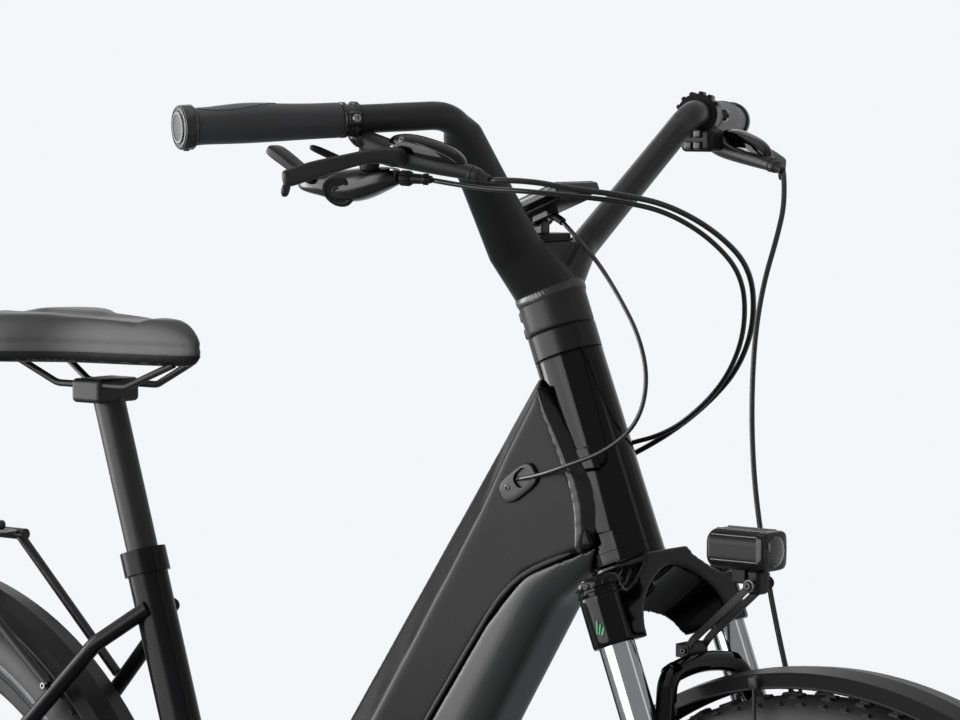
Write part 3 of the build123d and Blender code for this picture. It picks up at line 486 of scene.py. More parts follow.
class Bench:
    """Blender's own modelling moves, as short calls on one new piece at a time."""

    @staticmethod
    def take(name: str) -> bpy.types.Object:
        """Name the piece that an operator has just added."""
        piece = bpy.context.object
        piece.name = name
        piece.data.name = name
        return piece

    @staticmethod
    def pick(piece: bpy.types.Object, test: Callable[[Vector, Vector], bool]) -> None:
        """Select the faces of the piece in edit mode that pass a test.

        Args:
            piece: The piece being edited.
            test: Gets a face's middle and its normal.
        """
        bpy.ops.mesh.select_mode(type="FACE")
        bpy.ops.mesh.select_all(action="DESELECT")
        mesh = bmesh.from_edit_mesh(piece.data)
        for face in mesh.faces:
            if test(face.calc_center_median(), face.normal):
                face.select_set(True)
        bmesh.update_edit_mesh(piece.data)

    @staticmethod
    def face_out() -> None:
        """Turn every face of the piece in edit mode outwards."""
        bpy.ops.mesh.select_all(action="SELECT")
        bpy.ops.mesh.normals_make_consistent(inside=False)

    @classmethod
    def recalculate(cls, piece: bpy.types.Object, merge: float = 1e-6) -> None:
        """Merge doubled points and turn every face outwards."""
        with editing(piece):
            bpy.ops.mesh.select_all(action="SELECT")
            bpy.ops.mesh.remove_doubles(threshold=merge)
            cls.face_out()

    @staticmethod
    def modifier(piece: bpy.types.Object, kind: str, **settings: object) -> None:
        """Add a modifier, set it and apply it.

        Args:
            piece: The piece.
            kind: Blender's name of the modifier's type.
            settings: Its settings.
        """
        only(piece)
        modifier = piece.modifiers.new(kind.lower(), kind)
        for key, value in settings.items():
            setattr(modifier, key, value)
        bpy.ops.object.modifier_apply(modifier=modifier.name)

    @staticmethod
    def shade(piece: bpy.types.Object, angle: float = 32.0) -> bpy.types.Object:
        """Shade a piece smooth except over edges sharper than an angle in degrees."""
        only(piece)
        bpy.ops.object.shade_smooth_by_angle(angle=math.radians(angle))
        return piece

    @classmethod
    def block(cls, name: str, size: Point, ease: float = 0.0, segments: int = 2) -> bpy.types.Object:
        """A cuboid about the origin with eased edges.

        Args:
            name: The piece's name.
            size: Its three sizes.
            ease: Radius of its edges.
            segments: Steps in each edge.

        Returns:
            The piece.
        """
        bpy.ops.mesh.primitive_cube_add(size=1.0)
        piece = cls.take(name)
        piece.data.transform(Matrix.Diagonal((*size, 1.0)))
        if ease:
            cls.modifier(piece, "BEVEL", width=ease, segments=segments, limit_method="NONE")
        return piece

    @classmethod
    def turned(cls, name: str, profile: Sequence[tuple[float, float]], sides: int = 48) -> bpy.types.Object:
        """A piece turned about Z, drawn out of a disc step by step.

        Args:
            name: The piece's name.
            profile: Heights and radii, from the bottom to the top.
            sides: Faces round it.

        Returns:
            The closed piece.
        """
        height, radius = profile[0]
        bpy.ops.mesh.primitive_circle_add(vertices=sides, radius=radius, fill_type="NGON")
        piece = cls.take(name)
        piece.data.transform(Matrix.Translation((0.0, 0.0, height)))
        with editing(piece):
            bpy.ops.mesh.select_all(action="SELECT")
            for z, r in profile[1:]:
                bpy.ops.mesh.extrude_region_move(TRANSFORM_OT_translate={"value": (0.0, 0.0, z - height)})
                share = r / radius
                bpy.ops.transform.resize(value=(share, share, 1.0), center_override=(0.0, 0.0, z))
                height, radius = z, r
            cls.face_out()
        return piece

    @classmethod
    def spun(cls, name: str, outline: Sequence[tuple[float, float]], steps: int = 64,
             angle: float = FULL_TURN, start: float = 0.0) -> bpy.types.Object:
        """A ring or arc spun about Z from a closed outline.

        Args:
            name: The piece's name.
            outline: Radii and heights of the outline's corners.
            steps: Steps of the spin.
            angle: How far it turns.
            start: Where it starts, from X.

        Returns:
            The piece.
        """
        bpy.ops.mesh.primitive_circle_add(vertices=len(outline), radius=0.01, fill_type="NGON")
        piece = cls.take(name)
        for vert, (r, z) in zip(piece.data.vertices, outline):
            vert.co = (r * math.cos(start), r * math.sin(start), z)
        whole = angle >= FULL_TURN
        with editing(piece):
            bpy.ops.mesh.select_all(action="SELECT")
            if whole:
                bpy.ops.mesh.delete(type="ONLY_FACE")
                bpy.ops.mesh.select_all(action="SELECT")
            bpy.ops.mesh.spin(steps=steps, angle=angle, center=(0.0, 0.0, 0.0), axis=(0.0, 0.0, 1.0))
        cls.recalculate(piece)
        return piece

    @classmethod
    def lofted(cls, name: str, rings: Sequence[Sequence[Vector]], soft: bool = False) -> bpy.types.Object:
        """A closed skin drawn out of a first ring, ring by ring.

        Args:
            name: The piece's name.
            rings: Rings of points, all with the same count.
            soft: Subdivide it into a smoother one.

        Returns:
            The piece.
        """
        bpy.ops.mesh.primitive_circle_add(vertices=len(rings[0]), radius=1.0, fill_type="NGON")
        piece = cls.take(name)
        for vert, place in zip(piece.data.vertices, rings[0]):
            vert.co = place
        with editing(piece):
            bpy.ops.mesh.select_all(action="SELECT")
            for was, ring in zip(rings, rings[1:]):
                bpy.ops.mesh.extrude_region_move()
                mesh = bmesh.from_edit_mesh(piece.data)
                moved = [vert for vert in mesh.verts if vert.select]
                near = [min(range(len(was)), key=lambda i, v=vert: (was[i] - v.co).length_squared)
                        for vert in moved]
                for vert, index in zip(moved, near):
                    vert.co = ring[index]
                bmesh.update_edit_mesh(piece.data)
            cls.face_out()
        if soft:
            cls.modifier(piece, "SUBSURF", levels=1, render_levels=1)
        return piece

    @classmethod
    def plate(cls, name: str, outline: Sequence[tuple[float, float]], thick: float) -> bpy.types.Object:
        """A flat plate in the XY plane, raised by its thickness.

        Args:
            name: The piece's name.
            outline: Its corners.
            thick: Its thickness, from z = 0 up.

        Returns:
            The piece.
        """
        bpy.ops.mesh.primitive_circle_add(vertices=len(outline), radius=0.01, fill_type="NGON")
        piece = cls.take(name)
        for vert, (x, y) in zip(piece.data.vertices, outline):
            vert.co = (x, y, 0.0)
        with editing(piece):
            bpy.ops.mesh.select_all(action="SELECT")
            bpy.ops.mesh.extrude_region_move(TRANSFORM_OT_translate={"value": (0.0, 0.0, thick)})
            cls.face_out()
        return piece

    @classmethod
    def wire(cls, name: str, points: Sequence[Vector], radius: float, sides: int = 6) -> bpy.types.Object:
        """A round bar through points, drawn as a smooth curve and made a mesh.

        Args:
            name: The piece's name.
            points: Points that it goes near.
            radius: Its radius.
            sides: Steps in half its round.

        Returns:
            The piece, closed at both ends.
        """
        curve = drawn(name, points, min(4, len(points)), 8)
        curve.data.bevel_depth = radius
        curve.data.bevel_resolution = sides
        curve.data.use_fill_caps = True
        only(curve)
        bpy.ops.object.convert(target="MESH")
        piece = cls.take(name)
        cls.recalculate(piece)
        return piece

    @staticmethod
    def place(piece: bpy.types.Object, frame: Matrix) -> bpy.types.Object:
        """Move a piece's mesh into a frame, with its object left at the origin."""
        piece.data.transform(frame)
        if frame.determinant() < 0.0:
            piece.data.flip_normals()
        piece.data.update()
        return piece

    @staticmethod
    def copy(piece: bpy.types.Object, name: str, frame: Matrix) -> bpy.types.Object:
        """A copy of a piece with its own mesh, moved by a matrix.

        Args:
            piece: The piece to copy.
            name: The copy's name.
            frame: How its mesh moves; a mirror turns its faces the right way again.

        Returns:
            The copy.
        """
        twin = piece.copy()
        twin.data = piece.data.copy()
        twin.name = name
        twin.data.name = name
        bpy.context.scene.collection.objects.link(twin)
        return Bench.place(twin, frame)

    @classmethod
    def strewn(cls, piece: bpy.types.Object, frames: Sequence[Matrix]) -> list[bpy.types.Object]:
        """Copies of a piece, one at each frame, with the piece itself taken away.

        Args:
            piece: The piece.
            frames: Where the copies go.

        Returns:
            The copies.
        """
        copies = [cls.copy(piece, f"{piece.name}_part", frame) for frame in frames]
        bpy.data.objects.remove(piece, do_unlink=True)
        return copies

    @staticmethod
    def join(name: str, pieces: Sequence[bpy.types.Object]) -> bpy.types.Object:
        """Join pieces into the first one.

        Args:
            name: The joined piece's name.
            pieces: The pieces.

        Returns:
            The joined piece.
        """
        bpy.ops.object.select_all(action="DESELECT")
        for piece in pieces:
            piece.select_set(True)
        bpy.context.view_layer.objects.active = pieces[0]
        if len(pieces) > 1:
            bpy.ops.object.join()
        return Bench.take(name)

    @classmethod
    def cut(cls, piece: bpy.types.Object, cutter: bpy.types.Object, operation: str = "DIFFERENCE") -> None:
        """Cut one piece with another, which is then deleted."""
        cls.modifier(piece, "BOOLEAN", object=cutter, operation=operation, solver="EXACT")
        bpy.data.objects.remove(cutter, do_unlink=True)


def frame_at(origin: Sequence[float], z_dir: Sequence[float], x_dir: Sequence[float] = (1.0, 0.0, 0.0)) -> Matrix:
    """A frame from its origin, its Z and about where its X points.

    Args:
        origin: Where it stands.
        z_dir: Its Z.
        x_dir: Its X, before it is squared to Z.

    Returns:
        The matrix that takes the frame's own coordinates into the object's.
    """
    z = Vector(z_dir).normalized()
    x = Vector(x_dir)
    x = (x - z * x.dot(z)).normalized()
    y = z.cross(x)
    matrix = Matrix((x, y, z)).transposed().to_4x4()
    matrix.translation = Vector(origin)
    return matrix


def around(axle: Vector, radius: float, turn: float, y: float = 0.0) -> Vector:
    """A point round an axle that lies along Y, at an angle in radians from X to Z."""
    return axle + Vector((radius * math.cos(turn), y, radius * math.sin(turn)))


def facing(axle: Vector, y: float = 0.0, side: int = 1) -> Matrix:
    """A frame on such an axle: its Z to the left for 1 or to the right for -1, and its X forward."""
    return frame_at(axle + Vector((0, y, 0)), (0, side, 0), (1, 0, 0))


def steer_frame(along: float, fore: float = 0.0, side: float = 0.0) -> Matrix:
    """A frame on the steering axis: X forward, Y left, Z up the axis."""
    return frame_at(STEER_FOOT + STEER_UP * along + STEER_FORE * fore + LEFT * side, STEER_UP, STEER_FORE)


def bar_frame(along: float) -> Matrix:
    """A frame on the right half of the bar: X forward, Y up, Z out along the bar."""
    return frame_at(BAR_BEND + BAR_DIR * along, BAR_DIR, (1.0, -0.5, 0.0))


def oval(centre: Sequence[float], a_dir: Sequence[float], b_dir: Sequence[float], half_a: float,
         half_b: float, power: float = 2.0, count: int = 24) -> list[Vector]:
    """A ring of points on a rounded square or an ellipse.

    Args:
        centre: Its middle.
        a_dir: Its first axis.
        b_dir: Its second axis.
        half_a: Half its size along the first.
        half_b: Half its size along the second.
        power: 2 for an ellipse, more for a squarer shape.
        count: Points round it.

    Returns:
        The points.
    """
    middle, a, b = Vector(centre), Vector(a_dir).normalized(), Vector(b_dir).normalized()
    ring = []
    for index in range(count):
        turn = FULL_TURN * index / count
        c, s = math.cos(turn), math.sin(turn)
        ring.append(middle + a * half_a * math.copysign(abs(c) ** (2 / power), c)
                    + b * half_b * math.copysign(abs(s) ** (2 / power), s))
    return ring


def tube_rings(stations: Sequence[tuple[Point, float, float]], up: Sequence[float] = (0.0, 0.0, 1.0),
               power: float = 2.0, count: int = 24) -> list[list[Vector]]:
    """Rings along a path, each square to it.

    Args:
        stations: A place, half the height and half the width, one after the other.
        up: About where each ring's height points.
        power: The rings' squareness.
        count: Points in each ring.

    Returns:
        The rings.
    """
    places = [Vector(place) for place, _, _ in stations]
    rings = []
    for index, (_, high, wide) in enumerate(stations):
        ahead = places[min(index + 1, len(places) - 1)] - places[max(index - 1, 0)]
        ahead.normalize()
        lift = Vector(up) - ahead * ahead.dot(Vector(up))
        across = ahead.cross(lift)
        rings.append(oval(places[index], lift, across, high, wide, power, count))
    return rings


# ---------------------------------------------------------------- studio


@dataclass
class Studio:
    """The camera, the lamps and the pale floor.

    Attributes:
        eye: Where the camera stands.
        aim: What it looks at.
        lens: Its focal length, in millimetres on a 36 mm sensor.
    """

    eye: Point = (2.3071, -2.6172, 1.2122)
    aim: Point = (0.1915, 0.0, 0.9668)
    lens: float = 138.795

    def camera(self) -> None:
        """Add the camera and make it the scene's own."""
        data = bpy.data.cameras.new("camera")
        data.lens = self.lens
        data.sensor_width = 36.0
        data.clip_end = 60.0
        camera = linked("camera", data)
        camera.location = self.eye
        direction = Vector(self.aim) - Vector(self.eye)
        camera.rotation_euler = direction.to_track_quat("-Z", "Y").to_euler()
        bpy.context.scene.camera = camera

    def lamp(self, name: str, place: Point, aim: Point, size: tuple[float, float], power: float,
             mirrored_only: bool = False) -> None:
        """Add a soft rectangular lamp.

        Args:
            name: Its name.
            place: Where it stands.
            aim: What it faces.
            size: Its width and height.
            power: Its power in watts.
            mirrored_only: Shows in gloss and lights nothing.
        """
        data = bpy.data.lights.new(name, "AREA")
        data.shape = "RECTANGLE"
        data.size, data.size_y = size
        data.energy = power
        lamp = linked(name, data)
        lamp.location = place
        lamp.visible_diffuse = not mirrored_only
        lamp.rotation_euler = (Vector(aim) - Vector(place)).to_track_quat("-Z", "Y").to_euler()

    def floor(self) -> None:
        """Add the pale floor, which shows white to the camera and keeps its shadow."""
        bpy.ops.mesh.primitive_plane_add(size=60.0, location=(0.0, 0.0, 0.0))
        floor = bpy.context.object
        floor.name = "floor"
        sheet = NodeSheet("floor_pale")
        sheet.set(Roughness=0.9, Specular_IOR_Level=0.1)
        speck = sheet.noise(3.0, 2.0)
        sheet.link(sheet.ramp(speck, 0.3, 0.7, (0.84, 0.845, 0.855), (0.87, 0.875, 0.885)), "Base Color")
        reach = sheet.tree.nodes.new("ShaderNodeVectorMath")
        reach.operation = "LENGTH"
        sheet.tree.links.new(sheet.placed(), reach.inputs[0])
        fade = sheet.tree.nodes.new("ShaderNodeMapRange")
        fade.interpolation_type = "SMOOTHSTEP"
        for name, value in (("From Min", 1.3), ("From Max", 3.0), ("To Min", 1.0), ("To Max", 0.0)):
            fade.inputs[name].default_value = value
        sheet.tree.links.new(reach.outputs["Value"], fade.inputs["Value"])
        sheet.link(fade.outputs["Result"], "Alpha")
        floor.data.materials.append(sheet.material)

    def world(self) -> None:
        """Set an even pale surround."""
        world = bpy.data.worlds.new("surround")
        bpy.context.scene.world = world
        world.use_nodes = True
        nodes, links = world.node_tree.nodes, world.node_tree.links
        nodes.clear()
        out = nodes.new("ShaderNodeOutputWorld")
        mix = nodes.new("ShaderNodeMixShader")
        seen = nodes.new("ShaderNodeBackground")
        seen.inputs["Color"].default_value = (0.915, 0.918, 0.932, 1.0)
        seen.inputs["Strength"].default_value = 1.0
        lit = nodes.new("ShaderNodeBackground")
        lit.inputs["Color"].default_value = (0.9, 0.92, 0.95, 1.0)
        lit.inputs["Strength"].default_value = 0.45
        path = nodes.new("ShaderNodeLightPath")
        sharp = nodes.new("ShaderNodeMath")
        sharp.operation = "MAXIMUM"
        links.new(path.outputs["Is Camera Ray"], sharp.inputs[0])
        links.new(path.outputs["Is Glossy Ray"], sharp.inputs[1])
        through = nodes.new("ShaderNodeMath")
        through.operation = "MAXIMUM"
        links.new(sharp.outputs["Value"], through.inputs[0])
        links.new(path.outputs["Is Transmission Ray"], through.inputs[1])
        links.new(through.outputs["Value"], mix.inputs["Fac"])
        links.new(lit.outputs["Background"], mix.inputs[1])
        links.new(seen.outputs["Background"], mix.inputs[2])
        links.new(mix.outputs["Shader"], out.inputs["Surface"])

    def build(self) -> None:
        """Set up everything but the camera."""
        bpy.context.scene.view_settings.view_transform = "Standard"
        self.world()
        self.floor()
        self.lamp("wall", (-1.58, -2.95, 1.15), (0.3, 0.0, 0.85), (5.6, 2.3), 330.0, True)
        self.lamp("edge", (-2.55, -0.95, 1.25), (0.3, 0.0, 0.95), (0.9, 2.2), 90.0, True)
        self.lamp("side", (-0.9, -3.6, 2.2), (0.2, 0.0, 0.8), (3.0, 2.0), 42.0)
        self.lamp("over", (0.3, -0.4, 4.0), (0.1, 0.0, 0.8), (3.4, 3.4), 44.0)
        self.lamp("front", (3.9, 0.9, 1.7), (0.3, 0.0, 0.8), (0.7, 2.4), 9.0)
        self.lamp("back", (-3.0, 2.8, 2.6), (0.0, 0.0, 0.8), (2.4, 1.6), 12.0)


# ---------------------------------------------------------------- hoses and cables


@dataclass(frozen=True)
class Route:
    """One free hose or cable.

    Attributes:
        name: The name of its solid and of its piece's start.
        points: The points that its line is drawn to.
        diameter: Its thickness.
        stiffness: How stiff it is; not used.
        crossing: Where it turns from the steering to the frame, or None if it stays on the steering.
    """

    name: str
    points: tuple[Point, ...]
    diameter: float
    stiffness: str = "stiff"
    crossing: tuple[Point, Point] | None = None

    def line(self) -> list[Vector]:
        """Points read along the smooth line of the route.

        Returns:
            The points, from the first fitting to the last.
        """
        curve = drawn(self.name + "_line", self.points, 3, 10)
        mesh = bpy.data.meshes.new_from_object(curve)
        line = [vert.co.copy() for vert in mesh.vertices]
        bpy.data.objects.remove(curve, do_unlink=True)
        if (line[0] - Vector(self.points[0])).length > (line[-1] - Vector(self.points[0])).length:
            line.reverse()
        return line


@dataclass
class CordSet:
    """The three hoses and cables of the bar and the display's cable."""

    wardrobe: Wardrobe
    sides: int = 14
    routes: tuple[Route, ...] = (
        Route("front_brake_hose", (
            (0.3768, 0.2159, 1.1366), (0.386, 0.206, 1.112), (0.389, 0.1885, 1.078), (0.387, 0.1705, 1.038),
            (0.387, 0.1575, 0.994), (0.3905, 0.1475, 0.948), (0.397, 0.138, 0.902), (0.408, 0.127, 0.856),
            (0.4225, 0.1175, 0.808), (0.438, 0.111, 0.756), (0.456, 0.107, 0.698), (0.475, 0.108, 0.634),
            (0.491, 0.11, 0.568), (0.501, 0.11, 0.506), (0.506, 0.107, 0.456), (0.503, 0.097, 0.424),
            (0.499, 0.079, 0.406), (0.498, 0.0572, 0.4)), 0.005),
        Route("rear_brake_hose", (
            (0.3766, -0.2158, 1.1374), (0.404, -0.204, 1.138), (0.436, -0.178, 1.13), (0.46, -0.142, 1.125),
            (0.475, -0.098, 1.116), (0.487, -0.045, 1.092), (0.487, 0.006, 1.059), (0.466, 0.042, 1.011),
            (0.434, 0.066, 0.969), (0.393, 0.08, 0.935), (0.346, 0.084, 0.903), (0.303, 0.069, 0.877),
            (0.277, 0.047, 0.862)), 0.005, "stiff", ((0.475, -0.098, 1.116), (0.303, 0.070, 0.879))),
        Route("shift_cable", (
            (0.3145, -0.2156, 1.1365), (0.354, -0.2055, 1.13), (0.396, -0.196, 1.1285),
            (0.431, -0.174, 1.1245), (0.456, -0.139, 1.1195), (0.471, -0.095, 1.11), (0.482, -0.046, 1.086),
            (0.481, 0.0025, 1.0525), (0.4595, 0.0375, 1.005), (0.428, 0.0605, 0.9645), (0.39, 0.075, 0.932),
            (0.345, 0.078, 0.902), (0.3, 0.064, 0.89), (0.269, 0.047, 0.8715)), 0.0045, "stiff",
            ((0.471, -0.095, 1.110), (0.300, 0.064, 0.890))),
        Route("display_cable", (
            (0.284, -0.006, 1.101), (0.306, -0.008, 1.084), (0.335, -0.012, 1.061), (0.366, -0.022, 1.032),
            (0.396, -0.032, 0.998), (0.412, -0.041, 0.961), (0.407, -0.049, 0.924), (0.379, -0.058, 0.899),
            (0.338, -0.061, 0.884), (0.301, -0.055, 0.872), (0.273, -0.047, 0.867)), 0.004, "medium",
            ((0.306, -0.008, 1.084), (0.301, -0.055, 0.872))),
    )

    def tube(self, name: str, line: Sequence[Vector], radius: float) -> bpy.types.Object:
        """A closed tube along a line, with a map that runs along it.

        Args:
            name: The piece's name.
            line: The points that it follows.
            radius: Its radius.

        Returns:
            The tube.
        """
        mesh = bmesh.new()
        layer = mesh.loops.layers.uv.new("along")
        lift = Vector((0.0, 1.0, 0.3))
        rings, lengths, run = [], [], 0.0
        for index, place in enumerate(line):
            ahead = (line[min(index + 1, len(line) - 1)] - line[max(index - 1, 0)]).normalized()
            lift = (lift - ahead * lift.dot(ahead)).normalized()
            across = ahead.cross(lift)
            if index:
                run += (place - line[index - 1]).length
            lengths.append(run)
            turns = [FULL_TURN * step / self.sides for step in range(self.sides)]
            rings.append([mesh.verts.new(place + (lift * math.cos(a) + across * math.sin(a)) * radius)
                          for a in turns])
        for index in range(len(line) - 1):
            for step in range(self.sides):
                far = (step + 1) % self.sides
                face = mesh.faces.new((rings[index][step], rings[index][far],
                                       rings[index + 1][far], rings[index + 1][step]))
                face.smooth = True
                corners = ((index, step), (index, step + 1), (index + 1, step + 1), (index + 1, step))
                for loop, (at, turn) in zip(face.loops, corners):
                    loop[layer].uv = (lengths[at], turn / self.sides)
        mesh.faces.new(rings[0][::-1])
        mesh.faces.new(rings[-1])
        data = bpy.data.meshes.new(name)
        mesh.to_mesh(data)
        mesh.free()
        return linked(name, data)

    def build(self) -> None:
        for route in self.routes:
            line = route.line()
            piece = self.tube(route.name + "_sheath", line, route.diameter / 2)
            self.wardrobe.dress(piece, "hose")
            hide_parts(route.name)
            if route.crossing:
                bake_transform(piece)
            else:
                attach(piece, "steering")


# ---------------------------------------------------------------- the fine pieces


@dataclass
class Assembly:
    """What every sub-assembly's maker has.

    Attributes:
        wardrobe: The finishes.
        nodes: The solids of the frame by name.
    """

    wardrobe: Wardrobe
    nodes: dict[str, bpy.types.Object]

    def fit(self, piece: bpy.types.Object, slot: str, body: str, *nodes: str, angle: float = 32.0,
            finish: str | None = None) -> bpy.types.Object:
        """Finish a piece: its shading, its material, the body that it rides on and what it stands for.

        Args:
            piece: The piece.
            slot: The record's material slot.
            body: The body that carries it.
            nodes: Solids that it replaces.
            angle: Edges sharper than this stay sharp, in degrees.
            finish: A finish other than the slot's own.

        Returns:
            The piece.
        """
        Bench.shade(piece, angle)
        self.wardrobe.dress(piece, slot, finish)
        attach(piece, body)
        if nodes:
            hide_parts(*nodes)
        LOG.info("%s: %d faces", piece.name, len(piece.data.polygons))
        return piece

    def cast(self, node: str, name: str, voxel: float, passes: int, cuts: Sequence[bpy.types.Object] = (),
             added: Sequence[bpy.types.Object] = ()) -> bpy.types.Object:
        """A solid of the frame made again as one smooth casting.

        Args:
            node: The solid.
            name: The casting's name.
            voxel: Fineness of its new skin.
            passes: Smoothing passes, which round its edges.
            cuts: What is taken off it first.
            added: What is run together with it.

        Returns:
            The casting.
        """
        piece = Bench.copy(self.nodes[node], name, Matrix.Identity(4))
        piece.parent = None
        piece.hide_render = piece.hide_viewport = False
        for key in [key for key in piece.keys() if key.startswith("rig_")]:
            del piece[key]
        piece = Bench.join(name, [piece, *added])
        with editing(piece):
            bpy.ops.mesh.select_all(action="SELECT")
            bpy.ops.mesh.remove_doubles(threshold=SEAM_GAP)
        for cut in cuts:
            Bench.cut(piece, cut)
        Bench.modifier(piece, "REMESH", mode="VOXEL", voxel_size=voxel)
        Bench.modifier(piece, "SMOOTH", factor=0.6, iterations=passes)
        return piece


@dataclass
class Handlebar(Assembly):
    """The welded bar: two blades that grow out of the collar, closed by a web.

    Attributes:
        collar_radius: Radius of the collar on the steering axis.
        collar_top: How far up the axis the collar ends.
        weld_coins: How many overlapping ripples the weld has.
    """

    collar_radius: float = 0.03125
    collar_top: float = 0.250
    weld_coins: int = 58

    def shell(self) -> None:
        """The blades, web and collar run together into one smooth casting."""
        sections = ((0.2705, 1.026, 0.024, 0.022, 2.6), (0.2710, 1.046, 0.017, 0.032, 2.8),
                    (0.2720, 1.064, 0.0135, 0.044, 3.0), (0.2725, 1.0765, 0.0115, 0.053, 3.2))
        fill = Bench.lofted("web_fill", [oval((x, 0.0, z), (1, 0, 0), (0, 1, 0), a, b, power)
                                         for x, z, a, b, power in sections])
        piece = self.cast("handlebar", "handlebar_shell", 0.0016, 14, added=[fill])
        self.fit(piece, "satin_black", "steering", "handlebar", angle=60.0)

    def weld(self) -> None:
        """The ripples of the weld that joins the blades to the collar."""
        bpy.ops.mesh.primitive_uv_sphere_add(segments=12, ring_count=6, radius=1.0)
        coin = Bench.take("weld")
        coin.data.transform(Matrix.Diagonal((0.0021, 0.0034, 0.0055, 1.0)))
        coin.data.transform(Matrix.Rotation(math.radians(24), 4, "X"))
        frames = []
        for index in range(self.weld_coins):
            turn = FULL_TURN * index / self.weld_coins
            lift = 0.0022 * math.cos(2 * turn) - 0.001
            frame = steer_frame(self.collar_top + lift) @ Matrix.Rotation(turn, 4, "Z")
            frames.append(frame @ Matrix.Translation((self.collar_radius - 0.0007, 0.0, 0.0)))
        coins = Bench.strewn(coin, frames)
        self.fit(Bench.join("handlebar_weld", coins), "satin_black", "steering", finish="weld_bead")

    def spacer(self) -> None:
        """The spacer under the collar, with eased ends that show as thin seams."""
        piece = Bench.turned("spacer_ring", [
            (0.1918, 0.0297), (0.1920, 0.03085), (0.1924, 0.03125), (0.2140, 0.03125), (0.2144, 0.03085),
            (0.2147, 0.0297)], 96)
        self.fit(Bench.place(piece, steer_frame(0.0)), "satin_black", "steering", "stem_spacer",
                 finish="spacer_satin")
        seam = Bench.spun("collar_seam", [(0.0311, 0.2146), (0.0315, 0.2149), (0.0311, 0.2152)], 96)
        self.fit(Bench.place(seam, steer_frame(0.0)), "satin_black", "steering", finish="bright_edge")

    def clamp_bolts(self) -> None:
        """The two pinch bolts with their bosses at the back of the collar, and the rubber plug on the web."""
        parts = []
        for along in (0.2235, 0.2395):
            head = Bench.turned("pinch", [(0.0, 0.0030), (0.0, 0.0042), (0.0036, 0.0042), (0.0042, 0.0036),
                                          (0.0042, 0.0022), (0.0018, 0.0021), (0.0018, TIP)], 24)
            frame = steer_frame(along, -0.0325, 0.0085) @ Matrix.Rotation(math.radians(90), 4, "X")
            parts.append(Bench.place(head, frame))
            boss = Bench.block("pinch_boss", (0.0080, 0.0165, 0.0105), 0.0022)
            parts.append(Bench.place(boss, steer_frame(along, -0.0320)))
        self.fit(Bench.join("pinch_bolts", parts), "satin_black", "steering")
        plug = Bench.block("web_plug", (0.0225, 0.0430, 0.0075), 0.0024, 3)
        lip = Bench.block("web_plug_lip", (0.0250, 0.0460, 0.0026), 0.0011)
        Bench.place(plug, Matrix.Translation((0.2690, 0.0, 1.0808)))
        Bench.place(lip, Matrix.Translation((0.2690, 0.0, 1.0785)))
        self.fit(Bench.join("web_plug", [plug, lip]), "black_plastic", "steering")

    def build(self) -> None:
        """Make every piece of the bar."""
        self.shell()
        self.weld()
        self.spacer()
        self.clamp_bolts()


class Hand(Enum):
    """Which end of the bar a piece sits on."""

    RIGHT = "right"
    LEFT = "left"

    @property
    def flip(self) -> Matrix:
        """The matrix from the right hand's place to this one's."""
        return Matrix.Identity(4) if self is Hand.RIGHT else MIRROR.copy()


